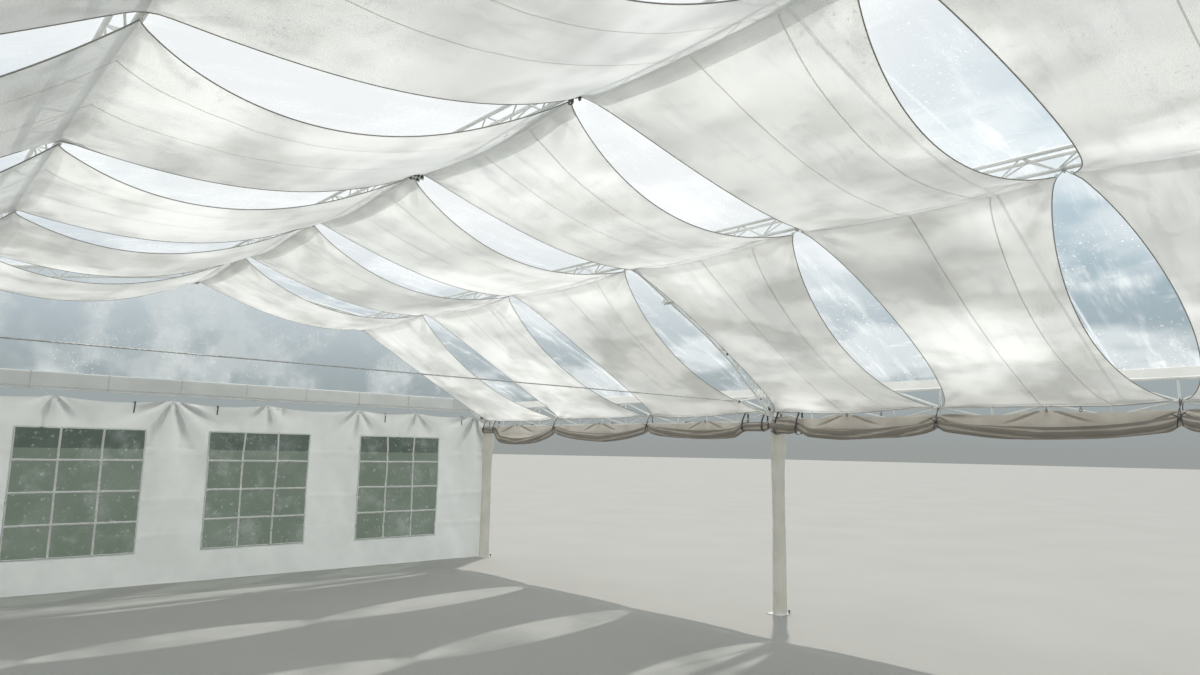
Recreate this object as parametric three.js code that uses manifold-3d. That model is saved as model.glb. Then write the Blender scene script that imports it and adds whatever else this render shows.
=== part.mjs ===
// Frame marquee: a lattice steel frame under a clear roof, lined with white drapes, with windowed gable walls.
// Millimetres. X runs across the span, Y along the ridge and Z up.
// The origin is on the ground under the middle of the tent.

import * as THREE from 'three';
import { mergeVertices } from 'three/addons/utils/BufferGeometryUtils.js';
import Module from 'manifold-3d';

const wasm = await Module();
wasm.setup();

// Driving dimensions
const BAY_LENGTH = 6250;
const DRAPES_PER_BAY = 3;
const LEG_X = 5070;
const PURLIN_X = 2500;
const LEG_HEIGHT = 2280;
const PURLIN_CHORD_Z = 3835;
const RIDGE_CHORD_Z = 4215;
const EAVE_UPPER_Z = 2740;
const HAUNCH = [[3750, 3215], [4200, 2945], [4620, 2620]];
const HAUNCH_FOOT_Z = 2320;
const PURLIN_DROP = 34;
const RIDGE_PURLIN_DROP = 12;
const GAP = 0.3;

// Steel sections
const TRUSS = 150;
const CHORD = 30;
const LACING = 18;
const CHORD_OFFSET = (TRUSS - CHORD) / 2;
const TRUSS_RISE = TRUSS - CHORD;
const PLATE = 8;
const RAFTER_LACING_X = [900, 1700, PURLIN_X, 3150, 3800, 4450, 4800];
const PURLIN_LACING_COUNT = 6;
const PURLIN_SEAT_WIDTH = 60;
const PURLIN_SEAT_TOP = 3960;
const PURLIN_SEAT_BOTTOM = 3790;

// Leg, its foot and its cloth sleeve, whose outline is drawn with the inside of the tent at -X
const LEG_TUBE = 26;
const LEG_TUBE_OFFSET = 50;
const FOOT_WIDTH = 200;
const FOOT_THICKNESS = 10;
const LEG_BATTEN_HEIGHTS = [850, 1650];
const SLEEVE_OUTLINE = [[-78, -24], [52, -78], [78, -64], [78, 64], [52, 78], [-78, 24]];
const SLEEVE_BORE_SCALE = 0.93;
const SLEEVE_TOP = 2240;

// Eave lattice with the rail below it, and the tie cable across the middle frame with the bracket that it pulls on
const EAVE_TOP_Z = 2590;
const EAVE_MIDDLE_Z = 2395;
const EAVE_RAIL_Z = 2275;
const EAVE_PANELS = 12;
const CABLE_Z = 2490;
const CABLE_RADIUS = 6;
const CABLE_EYE_X = 4330;
const CABLE_EYE_WIDTH = 60;
const CABLE_BRACKET_X = 4720;

// Roof sheets, gable panels, gable walls and windows
const SHEET = 3;
const ROOF_CLEARANCE = 18;
const ROOF_EDGE_X = 5180;
const ROOF_END_OVERHANG = 150;
const VALANCE_DROP = 110;
const GABLE_BEAM_THICKNESS = 60;
const GABLE_BEAM_BOTTOM = 2555;
const GABLE_BEAM_TOP = 2755;
const GABLE_BEAM_END_TOP = 2690;
const GABLE_BEAM_SHOULDER_X = 4920;
const GABLE_WALL_HALF = 5080;
const GABLE_WALL_THICKNESS = 5;
const GABLE_WALL_TOP = 2470;
const GABLE_WALL_DIP = 55;
const GABLE_WALL_HANGERS = 11;
const WINDOW_CENTRES = [-3420, -1140, 1140, 3420];
const WINDOW_WIDTH = 1450;
const WINDOW_SILL = 430;
const WINDOW_HEAD = 2050;
const WINDOW_LAP = 40;
const WINDOW_SHEET = 2;

// Lining drapes: where their corners are tied, and how far they sag and draw in between the ties
const DRAPE_TIES = [[0, 4165], [PURLIN_X, 3750], [4955, 2415]];
const DRAPE_SPAN_SAG = [255, 165];
const DRAPE_LINE_SAG = [85, 70, 35];
const DRAPE_TIE_GAP = 40;
const DRAPE_DRAW_IN = [280, 285];
const DRAPE_BOW_POWER = 0.75;
const DRAPE_THICKNESS = 6;
const DRAPE_STEPS_ALONG = 4;
const DRAPE_STEPS_ACROSS = 4;

// Rolled side curtains under the eaves
const CURTAIN_X = 4950;
const CURTAIN_TOP = 2345;
const CURTAIN_TIED_DEPTH = 175;
const CURTAIN_BELLY_DEPTH = 260;
const CURTAIN_HALF_WIDTH = 34;
const CURTAIN_SECTION = [[-0.35, 0], [0.35, 0], [0.7, 0.3], [1, 0.7], [0.55, 1], [-0.55, 1], [-1, 0.7], [-0.7, 0.3]];
const CURTAIN_STEPS = 4;
const CURTAIN_END_GAP = 30;

const DRAPE_PITCH = BAY_LENGTH / DRAPES_PER_BAY;
const POST_FACE = TRUSS / 2;

const materials = {
  frame: { color: 0xe4e6e4, roughness: 0.45, metalness: 0.3 },
  cable: { color: 0x8d8f8c, roughness: 0.4, metalness: 0.8 },
  sleeve: { color: 0xe9e8e2, roughness: 0.85, metalness: 0 },
  clear: { color: 0xcfdde0, roughness: 0.15, metalness: 0, transparent: true, opacity: 0.3 },
  drape: { color: 0xf2f0ea, roughness: 0.9, metalness: 0 },
  wall: { color: 0xe3e7e5, roughness: 0.6, metalness: 0 },
  curtain: { color: 0xb5aa9c, roughness: 0.8, metalness: 0 },
};

const marquee = new THREE.Group();

// Adds a named piece to the tent and returns it, so that it can be placed.
function piece(name, geometry, look) {
  const mesh = new THREE.Mesh(geometry, new THREE.MeshStandardMaterial(materials[look]));
  mesh.name = name;
  marquee.add(mesh);
  return mesh;
}

// Solids for joining and cutting
function toSolid(geometry) {
  const bare = geometry.clone();
  bare.deleteAttribute('normal');
  bare.deleteAttribute('uv');
  const merged = mergeVertices(bare, 1e-4);
  const corners = new wasm.Mesh({
    numProp: 3,
    vertProperties: Float32Array.from(merged.attributes.position.array),
    triVerts: Uint32Array.from(merged.index.array),
  });
  return new wasm.Manifold(corners);
}

function toGeometry(solid) {
  const mesh = solid.getMesh();
  const geometry = new THREE.BufferGeometry();
  geometry.setAttribute('position', new THREE.BufferAttribute(mesh.vertProperties, 3));
  geometry.setIndex(new THREE.BufferAttribute(mesh.triVerts, 1));
  geometry.computeVertexNormals();
  return geometry;
}

function fuse(geometries) {
  return toGeometry(geometries.map(toSolid).reduce((whole, next) => whole.add(next)));
}

function cut(geometry, cutters) {
  return toGeometry(cutters.map(toSolid).reduce((rest, next) => rest.subtract(next), toSolid(geometry)));
}

function box(width, depth, height, x, y, z) {
  return new THREE.BoxGeometry(width, depth, height).translate(x, y, z);
}

// A square bar between two points.
function bar(start, end, thickness) {
  const from = new THREE.Vector3(...start);
  const along = new THREE.Vector3(...end).sub(from);
  const turn = new THREE.Quaternion().setFromUnitVectors(new THREE.Vector3(0, 0, 1), along.clone().normalize());
  const middle = from.addScaledVector(along, 0.5);
  return new THREE.BoxGeometry(thickness, thickness, along.length())
    .applyQuaternion(turn)
    .translate(middle.x, middle.y, middle.z);
}

// An outline in X and Z, extruded to a thickness along Y and centred on y.
function slab(outline, thickness, y) {
  const shape = new THREE.Shape(outline.map(([x, z]) => new THREE.Vector2(x, z)));
  return new THREE.ExtrudeGeometry(shape, { depth: thickness, bevelEnabled: false })
    .rotateX(Math.PI / 2)
    .translate(0, y + thickness / 2, 0);
}

// A bent flat strip that follows a path in X and Z, as deep as the given thickness.
function stripOutline(path, thickness) {
  const half = path.map((point, index) => {
    const before = path[Math.max(index - 1, 0)];
    const after = path[Math.min(index + 1, path.length - 1)];
    const slope = Math.atan2(after[1] - before[1], after[0] - before[0]);
    return thickness / 2 / Math.abs(Math.cos(slope));
  });
  const upper = path.map(([x, z], index) => [x, z + half[index]]);
  const lower = path.map(([x, z], index) => [x, z - half[index]]);
  return [...lower, ...upper.reverse()];
}

// Height of a path of distances and heights at a distance, carried on in a straight line past its last point.
function heightOn(path, x) {
  const segment = Math.min(Math.max(path.findIndex(([end]) => end >= x), 1), path.length - 1);
  const index = x > path[path.length - 1][0] ? path.length - 1 : segment;
  const [[startX, startZ], [endX, endZ]] = [path[index - 1], path[index]];
  return THREE.MathUtils.mapLinear(x, startX, endX, startZ, endZ);
}

// Centre lines of a rafter's chords. The lower one drops away in a haunch before the leg.
const KNEE_X = LEG_X - CHORD_OFFSET;
const KNEE_OUTER_X = LEG_X + CHORD_OFFSET;
const SHALLOW = Math.atan2(RIDGE_CHORD_Z - PURLIN_CHORD_Z, PURLIN_X);
const STEEP = Math.atan2(PURLIN_CHORD_Z - HAUNCH[0][1], HAUNCH[0][0] - PURLIN_X);
const LOWER_CHORD = [[0, RIDGE_CHORD_Z], [PURLIN_X, PURLIN_CHORD_Z], ...HAUNCH, [KNEE_X, HAUNCH_FOOT_Z]];
const UPPER_CHORD = [
  [0, RIDGE_CHORD_Z + TRUSS_RISE / Math.cos(SHALLOW)],
  [PURLIN_X, PURLIN_CHORD_Z + TRUSS_RISE / Math.cos((STEEP + SHALLOW) / 2)],
  [LEG_X, EAVE_UPPER_Z],
];
const lowerChordZ = (x) => heightOn(LOWER_CHORD, x);
const upperChordZ = (x) => heightOn(UPPER_CHORD, x);

// The three chords and the frames of lacing of a truss that is V-shaped in section: one chord below, two above.
function trussParts(lower, upper, stations) {
  const chords = [
    slab(stripOutline(lower, CHORD), CHORD, 0),
    slab(stripOutline(upper, CHORD), CHORD, -CHORD_OFFSET),
    slab(stripOutline(upper, CHORD), CHORD, CHORD_OFFSET),
  ];
  const frames = stations.flatMap(([bottom, top]) => [
    bar([bottom[0], 0, bottom[1]], [top[0], -CHORD_OFFSET, top[1]], LACING),
    bar([bottom[0], 0, bottom[1]], [top[0], CHORD_OFFSET, top[1]], LACING),
    bar([top[0], -CHORD_OFFSET, top[1]], [top[0], CHORD_OFFSET, top[1]], LACING),
  ]);
  return [...chords, ...frames];
}

// Half of a frame's roof, from the ridge plate to the knee that stands on the leg. The middle frame's halves have
// a bracket of two bars and an eye plate for the tie cable.
function rafterGeometry(hasBracket) {
  const lower = [[GAP / 2, lowerChordZ(GAP / 2)], ...LOWER_CHORD.slice(1)];
  const upper = [[GAP / 2, upperChordZ(GAP / 2)], UPPER_CHORD[1],
    [KNEE_OUTER_X + CHORD / 2, upperChordZ(KNEE_OUTER_X + CHORD / 2)]];
  const stations = RAFTER_LACING_X.map((x) => [[x, lowerChordZ(x)], [x, upperChordZ(x)]]);
  const plateTop = upperChordZ(0) + CHORD / 2;
  const plateBottom = lowerChordZ(0) - CHORD / 2;
  const footZ = LEG_HEIGHT + GAP + PLATE / 2;
  const kneeBarZ = upperChordZ(KNEE_X) - CHORD / 2;
  const post = (x, y) => bar([x, y, footZ], [x, y, upperChordZ(x) - CHORD / 2], CHORD);
  const seatHeight = PURLIN_SEAT_TOP - PURLIN_SEAT_BOTTOM;
  const seats = [-1, 1].map((side) => (
    box(PURLIN_SEAT_WIDTH, PLATE, seatHeight, PURLIN_X, side * (POST_FACE - PLATE / 2),
      PURLIN_SEAT_BOTTOM + seatHeight / 2)
  ));
  const eye = [CABLE_EYE_X, 0, CABLE_Z];
  const bracket = [
    box(CABLE_EYE_WIDTH, PLATE, CABLE_EYE_WIDTH, ...eye),
    bar(eye, [CABLE_BRACKET_X, 0, lowerChordZ(CABLE_BRACKET_X)], LACING),
    bar(eye, [KNEE_X, 0, HAUNCH_FOOT_Z], LACING),
  ];
  return fuse([
    ...trussParts(lower, upper, stations),
    box(PLATE, TRUSS, plateTop - plateBottom, GAP / 2 + PLATE / 2, 0, (plateTop + plateBottom) / 2),
    box(TRUSS, TRUSS, PLATE, LEG_X, 0, footZ),
    post(KNEE_X, 0),
    post(KNEE_OUTER_X, -CHORD_OFFSET),
    post(KNEE_OUTER_X, CHORD_OFFSET),
    bar([KNEE_X, -CHORD_OFFSET, kneeBarZ], [KNEE_X, CHORD_OFFSET, kneeBarZ], CHORD),
    ...seats,
    ...(hasBracket ? bracket : []),
  ]);
}

// A straight lattice purlin, made along X and turned to lie along the ridge, with a plate at each end.
function purlinGeometry(chordZ) {
  const start = POST_FACE + GAP;
  const end = BAY_LENGTH - start;
  const topZ = chordZ + TRUSS_RISE;
  const stations = Array.from({ length: PURLIN_LACING_COUNT }, (_, index) => {
    const x = THREE.MathUtils.lerp(start, end, (index + 1) / (PURLIN_LACING_COUNT + 1));
    return [[x, chordZ], [x, topZ]];
  });
  const plateAt = (x) => box(PLATE, TRUSS, TRUSS, x, 0, (chordZ + topZ) / 2);
  return fuse([
    ...trussParts([[start, chordZ], [end, chordZ]], [[start, topZ], [end, topZ]], stations),
    plateAt(start + PLATE / 2),
    plateAt(end - PLATE / 2),
  ]).rotateZ(Math.PI / 2);
}

// The flat lattice between the knees of two frames: two chords and a lower rail, with posts and zigzag lacing.
// The rail stops at the first post from each end, because the head of the leg is in its way.
function eaveGeometry() {
  const start = CHORD / 2 + GAP;
  const end = BAY_LENGTH - start;
  const place = (index) => THREE.MathUtils.lerp(start + CHORD / 2, end - CHORD / 2, index / EAVE_PANELS);
  const tube = (from, to, z) => box(CHORD, to - from, CHORD, 0, (from + to) / 2, z);
  const parts = [
    tube(start, end, EAVE_TOP_Z),
    tube(start, end, EAVE_MIDDLE_Z),
    tube(place(1) - CHORD / 2, place(EAVE_PANELS - 1) + CHORD / 2, EAVE_RAIL_Z),
  ];
  for (let index = 0; index <= EAVE_PANELS; index += 1) {
    const foot = index % EAVE_PANELS === 0 ? EAVE_MIDDLE_Z : EAVE_RAIL_Z;
    parts.push(bar([0, place(index), foot], [0, place(index), EAVE_TOP_Z], LACING));
  }
  for (let index = 0; index < EAVE_PANELS; index += 1) {
    const rising = index % 2 === 0;
    const even = place(rising ? index : index + 1);
    const odd = place(rising ? index + 1 : index);
    parts.push(bar([0, even, EAVE_MIDDLE_Z], [0, odd, EAVE_TOP_Z], LACING));
    parts.push(bar([0, even, EAVE_MIDDLE_Z], [0, odd, EAVE_RAIL_Z], LACING));
  }
  return fuse(parts);
}

// A leg of three tubes with battens, a foot plate and a head plate.
function legGeometry() {
  const corners = [[-1, 0], [1, -1], [1, 1]].map(([x, y]) => [x * LEG_TUBE_OFFSET, y * LEG_TUBE_OFFSET]);
  const tubeLength = LEG_HEIGHT - PLATE / 2 - FOOT_THICKNESS / 2;
  const tubes = corners.map(([x, y]) => (
    box(LEG_TUBE, LEG_TUBE, tubeLength, x, y, FOOT_THICKNESS / 2 + tubeLength / 2)
  ));
  const battens = LEG_BATTEN_HEIGHTS.flatMap((z) => corners.map((corner, index) => {
    const next = corners[(index + 1) % corners.length];
    return bar([...corner, z], [...next, z], LACING);
  }));
  return fuse([
    box(FOOT_WIDTH, FOOT_WIDTH, FOOT_THICKNESS, 0, 0, FOOT_THICKNESS / 2),
    box(TRUSS, TRUSS, PLATE, 0, 0, LEG_HEIGHT - PLATE / 2),
    ...tubes,
    ...battens,
  ]);
}

// The open-ended cloth sleeve around a leg.
function sleeveGeometry() {
  const outline = new THREE.Shape(SLEEVE_OUTLINE.map((corner) => new THREE.Vector2(...corner)));
  const bore = SLEEVE_OUTLINE.map((corner) => new THREE.Vector2(...corner).multiplyScalar(SLEEVE_BORE_SCALE));
  outline.holes.push(new THREE.Path(bore));
  const bottom = FOOT_THICKNESS + GAP;
  return new THREE.ExtrudeGeometry(outline, { depth: SLEEVE_TOP - bottom, bevelEnabled: false })
    .translate(0, 0, bottom);
}

// One bay of the clear roof, with the short skirt that hangs from each eave edge.
function roofGeometry() {
  const under = (x) => upperChordZ(x) + ROOF_CLEARANCE;
  const half = [[ROOF_EDGE_X, under(ROOF_EDGE_X) - VALANCE_DROP], [ROOF_EDGE_X, under(ROOF_EDGE_X)],
    [PURLIN_X, under(PURLIN_X)], [0, under(0)]];
  const inside = [...half, ...half.slice(0, -1).reverse().map(([x, z]) => [-x, z])];
  const last = inside.length - 1;
  const outside = inside.map(([x, z], index) => {
    const isSkirt = index === 0 || index === last;
    return [x + Math.sign(x) * (Math.abs(x) === ROOF_EDGE_X ? SHEET : 0), z + (isSkirt ? 0 : SHEET)];
  });
  const length = BAY_LENGTH + ROOF_END_OVERHANG - GAP / 2;
  return slab([...inside, ...outside.reverse()], length, GAP / 2 + length / 2);
}

// The clear triangle over the gable beam.
function gablePanelGeometry() {
  const under = (x) => upperChordZ(x) + ROOF_CLEARANCE - GAP;
  const sill = GABLE_BEAM_TOP + GAP;
  const cornerX = THREE.MathUtils.mapLinear(sill, under(PURLIN_X), under(LEG_X), PURLIN_X, LEG_X) - 1;
  return slab([
    [-cornerX, sill], [cornerX, sill], [PURLIN_X, under(PURLIN_X) - 1], [0, under(0) - 1],
    [-PURLIN_X, under(PURLIN_X) - 1],
  ], SHEET, 0);
}

// The white beam across a gable, its ends cut to the roof's slope.
function gableBeamGeometry() {
  const end = LEG_X + POST_FACE;
  return slab([
    [-end, GABLE_BEAM_BOTTOM], [end, GABLE_BEAM_BOTTOM], [end, GABLE_BEAM_END_TOP],
    [GABLE_BEAM_SHOULDER_X, GABLE_BEAM_TOP], [-GABLE_BEAM_SHOULDER_X, GABLE_BEAM_TOP], [-end, GABLE_BEAM_END_TOP],
  ], GABLE_BEAM_THICKNESS, 0);
}

// A gable wall of sheeting that is held up at even hangers, with its window openings.
function gableWallGeometry() {
  const top = [];
  for (let index = 0; index < GABLE_WALL_HANGERS; index += 1) {
    const x = THREE.MathUtils.lerp(GABLE_WALL_HALF, -GABLE_WALL_HALF, index / (GABLE_WALL_HANGERS - 1));
    const spacing = 2 * GABLE_WALL_HALF / (GABLE_WALL_HANGERS - 1);
    top.push([x, GABLE_WALL_TOP]);
    if (index < GABLE_WALL_HANGERS - 1) {
      top.push([x - spacing / 2, GABLE_WALL_TOP - GABLE_WALL_DIP]);
    }
  }
  const outline = [[-GABLE_WALL_HALF, 0], [GABLE_WALL_HALF, 0], ...top];
  const windowHeight = WINDOW_HEAD - WINDOW_SILL;
  const windows = WINDOW_CENTRES.map((x) => (
    box(WINDOW_WIDTH, 2 * GABLE_WALL_THICKNESS, windowHeight, x, 0, WINDOW_SILL + windowHeight / 2)
  ));
  return cut(slab(outline, GABLE_WALL_THICKNESS, 0), windows);
}

// One clear sheet that closes all the windows of a gable wall from outside.
function windowSheetGeometry() {
  const reach = Math.max(...WINDOW_CENTRES) + WINDOW_WIDTH / 2 + WINDOW_LAP;
  return slab([
    [-reach, WINDOW_SILL - WINDOW_LAP], [reach, WINDOW_SILL - WINDOW_LAP],
    [reach, WINDOW_HEAD + WINDOW_LAP], [-reach, WINDOW_HEAD + WINDOW_LAP],
  ], WINDOW_SHEET, 0);
}

// Closes a grid of points into a thin solid. rows[i][j] are points of the lower face, and lift is its thickness.
function sheetSolid(rows, lift) {
  const columns = rows[0].length;
  const lower = rows.flat();
  const points = [...lower, ...lower.map(([x, y, z]) => [x, y, z + lift])];
  const at = (row, column, upper) => (upper ? lower.length : 0) + row * columns + column;
  const faces = [];
  const quad = (a, b, c, d) => faces.push(a, b, c, a, c, d);
  for (let row = 0; row < rows.length - 1; row += 1) {
    for (let column = 0; column < columns - 1; column += 1) {
      quad(at(row, column), at(row, column + 1), at(row + 1, column + 1), at(row + 1, column));
      quad(at(row, column, 1), at(row + 1, column, 1), at(row + 1, column + 1, 1), at(row, column + 1, 1));
    }
  }
  for (let row = 0; row < rows.length - 1; row += 1) {
    quad(at(row, 0), at(row + 1, 0), at(row + 1, 0, 1), at(row, 0, 1));
    quad(at(row + 1, columns - 1), at(row, columns - 1), at(row, columns - 1, 1), at(row + 1, columns - 1, 1));
  }
  for (let column = 0; column < columns - 1; column += 1) {
    quad(at(0, column + 1), at(0, column), at(0, column, 1), at(0, column + 1, 1));
    quad(at(rows.length - 1, column), at(rows.length - 1, column + 1), at(rows.length - 1, column + 1, 1),
      at(rows.length - 1, column, 1));
  }
  const geometry = new THREE.BufferGeometry();
  geometry.setAttribute('position', new THREE.Float32BufferAttribute(points.flat(), 3));
  geometry.setIndex(faces);
  geometry.computeVertexNormals();
  return geometry;
}

// A point of a lining drape. side is -1 or 1, span 0 lies beside the ridge and span 1 beside the eave,
// along goes from 0 to 1 through the span and across from -1 to 1 over the drape's width.
function drapePoint(side, span, along, across) {
  const [[startX, startZ], [endX, endZ]] = [DRAPE_TIES[span], DRAPE_TIES[span + 1]];
  const bow = 4 * along * (1 - along);
  const halfWidth = DRAPE_PITCH / 2 - DRAPE_TIE_GAP - DRAPE_DRAW_IN[span] * bow ** DRAPE_BOW_POWER;
  const lineSag = THREE.MathUtils.lerp(DRAPE_LINE_SAG[span], DRAPE_LINE_SAG[span + 1], along);
  const z = THREE.MathUtils.lerp(startZ, endZ, along) - DRAPE_SPAN_SAG[span] * bow
    - lineSag * (1 - across * across);
  return [side * THREE.MathUtils.lerp(startX, endX, along), across * halfWidth, z];
}

function drapeGeometry() {
  const stations = [];
  for (const span of [1, 0]) {
    for (let step = DRAPE_STEPS_ALONG; step > 0; step -= 1) {
      stations.push([-1, span, step / DRAPE_STEPS_ALONG]);
    }
  }
  for (const span of [0, 1]) {
    for (let step = 0; step < DRAPE_STEPS_ALONG; step += 1) {
      stations.push([1, span, step / DRAPE_STEPS_ALONG]);
    }
  }
  stations.push([1, 1, 1]);
  const rows = stations.map(([side, span, along]) => (
    Array.from({ length: DRAPE_STEPS_ACROSS + 1 }, (_, index) => (
      drapePoint(side, span, along, index / DRAPE_STEPS_ACROSS * 2 - 1)
    ))
  ));
  return sheetSolid(rows, DRAPE_THICKNESS);
}

// A rolled curtain, tied up at each drape line and bellied between the ties.
function curtainGeometry() {
  const ringAt = (y, depth) => (
    CURTAIN_SECTION.map(([x, z]) => [x * CURTAIN_HALF_WIDTH, y, CURTAIN_TOP - z * depth])
  );
  const length = BAY_LENGTH - 2 * CURTAIN_END_GAP;
  const steps = DRAPES_PER_BAY * CURTAIN_STEPS;
  const rings = Array.from({ length: steps + 1 }, (_, index) => {
    const along = index / CURTAIN_STEPS % 1;
    const depth = THREE.MathUtils.lerp(CURTAIN_TIED_DEPTH, CURTAIN_BELLY_DEPTH, 4 * along * (1 - along));
    return ringAt(CURTAIN_END_GAP + length * index / steps, depth);
  });
  const sides = rings[0].length;
  const faces = [];
  for (let ring = 0; ring < steps; ring += 1) {
    for (let side = 0; side < sides; side += 1) {
      const next = (side + 1) % sides;
      const [a, b, c, d] = [ring * sides + side, ring * sides + next, (ring + 1) * sides + next,
        (ring + 1) * sides + side];
      faces.push(a, b, c, a, c, d);
    }
  }
  for (let side = 1; side < sides - 1; side += 1) {
    faces.push(0, side + 1, side);
    faces.push(steps * sides, steps * sides + side, steps * sides + side + 1);
  }
  const geometry = new THREE.BufferGeometry();
  geometry.setAttribute('position', new THREE.Float32BufferAttribute(rings.flat(2), 3));
  geometry.setIndex(faces);
  geometry.computeVertexNormals();
  return geometry;
}

const FRAMES = [['near', -BAY_LENGTH], ['middle', 0], ['far', BAY_LENGTH]];
const SIDES = [['left', Math.PI, -1], ['right', 0, 1]];

// Legs, sleeves and rafters
const leg = legGeometry();
const sleeve = sleeveGeometry();
const plainRafter = rafterGeometry(false);
const tiedRafter = rafterGeometry(true);
for (const [frameName, y] of FRAMES) {
  const rafter = frameName === 'middle' ? tiedRafter : plainRafter;
  for (const [sideName, turn, side] of SIDES) {
    const placed = [
      [piece(`leg_${sideName}_${frameName}`, leg, 'frame'), side * LEG_X],
      [piece(`leg_sleeve_${sideName}_${frameName}`, sleeve, 'sleeve'), side * LEG_X],
      [piece(`rafter_${sideName}_${frameName}`, rafter, 'frame'), 0],
    ];
    for (const [mesh, x] of placed) {
      mesh.position.set(x, y, 0);
      mesh.rotation.z = turn;
    }
  }
}

// Purlins, eave lattices, curtains and roof sheets of the two bays
const BAYS = [['near', -BAY_LENGTH], ['far', 0]];
const purlinLines = [
  ['purlin_left', -PURLIN_X, PURLIN_CHORD_Z - PURLIN_DROP],
  ['ridge_purlin', 0, RIDGE_CHORD_Z - RIDGE_PURLIN_DROP],
  ['purlin_right', PURLIN_X, PURLIN_CHORD_Z - PURLIN_DROP],
];
const eave = eaveGeometry();
const curtain = curtainGeometry();
const roof = roofGeometry();
for (const [bayName, y] of BAYS) {
  for (const [lineName, x, chordZ] of purlinLines) {
    piece(`${lineName}_${bayName}`, purlinGeometry(chordZ), 'frame').position.set(x, y, 0);
  }
  for (const [sideName, , side] of SIDES) {
    piece(`eave_lattice_${sideName}_${bayName}`, eave, 'frame').position.set(side * KNEE_X, y, 0);
    piece(`side_curtain_${sideName}_${bayName}`, curtain, 'curtain').position.set(side * CURTAIN_X, y, 0);
  }
  piece(`clear_roof_${bayName}`, roof, 'clear').rotation.z = bayName === 'near' ? Math.PI : 0;
}

// Gable ends: beam, clear triangle, windowed wall and the sheet that closes its windows
const beam = gableBeamGeometry();
const gablePanel = gablePanelGeometry();
const gableWall = gableWallGeometry();
const windowSheet = windowSheetGeometry();
const beamOffset = BAY_LENGTH + POST_FACE + GAP + GABLE_BEAM_THICKNESS / 2;
for (const [gableName, side] of [['near', -1], ['far', 1]]) {
  piece(`gable_beam_${gableName}`, beam, 'frame').position.y = side * beamOffset;
  piece(`clear_gable_${gableName}`, gablePanel, 'clear').position.y = side * beamOffset;
  piece(`gable_wall_${gableName}`, gableWall, 'wall').position.y = side * beamOffset;
  const sheetOffset = beamOffset + GABLE_WALL_THICKNESS / 2 + GAP + WINDOW_SHEET / 2;
  piece(`window_sheet_${gableName}`, windowSheet, 'clear').position.y = side * sheetOffset;
}

// Tie cable across the middle frame, from eye to eye
const cableHalf = CABLE_EYE_X - CABLE_EYE_WIDTH / 2 - GAP;
const cable = new THREE.CylinderGeometry(CABLE_RADIUS, CABLE_RADIUS, 2 * cableHalf, 8).rotateZ(Math.PI / 2);
piece('tie_cable_middle', cable, 'cable').position.z = CABLE_Z;

// Lining drapes, one between each pair of drape lines
const drape = drapeGeometry();
const drapeCount = BAYS.length * DRAPES_PER_BAY;
for (let index = 0; index < drapeCount; index += 1) {
  const y = (index - (drapeCount - 1) / 2) * DRAPE_PITCH;
  piece(`lining_drape_${index + 1}`, drape, 'drape').position.y = y;
}

export default marquee;
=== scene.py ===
# %% [markdown]
# # A frame marquee with a draped lining
# The imported solids fix the size and the place of every part of the tent. The scene keeps them as a frame
# and dresses it: round lattice tubes, clear sheets with welds and wrinkles, cloth drapes, walls, curtains
# and ties. The box of the bare solids is kept.

# %% Load the frame
import math
from contextlib import contextmanager

import bpy
import numpy as np
from mathutils import Euler, Matrix, Vector, noise


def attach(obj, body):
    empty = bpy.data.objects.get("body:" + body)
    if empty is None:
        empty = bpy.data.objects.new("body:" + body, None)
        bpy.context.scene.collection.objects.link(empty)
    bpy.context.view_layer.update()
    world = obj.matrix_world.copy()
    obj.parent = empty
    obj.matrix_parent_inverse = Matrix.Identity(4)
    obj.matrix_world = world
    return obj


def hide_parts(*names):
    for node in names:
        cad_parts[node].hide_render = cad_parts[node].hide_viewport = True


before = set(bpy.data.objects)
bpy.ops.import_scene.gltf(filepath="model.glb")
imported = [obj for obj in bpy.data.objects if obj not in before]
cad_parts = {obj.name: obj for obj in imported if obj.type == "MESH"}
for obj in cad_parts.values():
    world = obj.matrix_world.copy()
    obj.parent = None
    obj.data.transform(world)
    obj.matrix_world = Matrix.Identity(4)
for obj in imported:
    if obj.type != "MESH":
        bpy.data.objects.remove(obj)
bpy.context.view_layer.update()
print("solids:", len(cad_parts))

# %% [markdown]
# ## The camera
# The viewer stands just inside the near gable, to the left of the middle, and looks up along the right-hand
# eave. The lens, the place and the turn come from one fit to what was traced in the photo: edges and ties of
# the drapes, the middle leg, the foot of the far wall and the upright edges of its windows. The fit held the
# drape pitch, the eave line and the windows' heights at chosen values. A camera is set by its turn and not by
# a target, because the small roll of a hand-held camera belongs to the view.

# %% Camera
FOCAL_PIXELS, FRAME_PIXELS, SENSOR = 805.85, 1200, 36.0
PITCH, YAW, ROLL = 0.13977, 0.73190, 0.018754
EYE = (-3.2109, -5.9431, 1.88535)

bpy.ops.object.camera_add(location=EYE)
camera = bpy.context.object
level = Euler((math.pi / 2 + PITCH, 0, -YAW)).to_matrix()
camera.rotation_euler = (level @ Matrix.Rotation(ROLL, 3, "Z")).to_euler()
camera.data.sensor_width = SENSOR
camera.data.lens = FOCAL_PIXELS / FRAME_PIXELS * SENSOR
camera.data.clip_start, camera.data.clip_end = 0.02, 300
bpy.context.scene.camera = camera
print("lens:", round(camera.data.lens, 2), "mm")

# %% [markdown]
# ## Hands for the work
# Operators act on whatever is selected, so every helper first lets go of everything. Edit mode is entered
# and left by one helper too, so that no cell can leave the scene in it. A finished piece keeps its place in
# its mesh, with its object at the origin, and that is what settling does.

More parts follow.
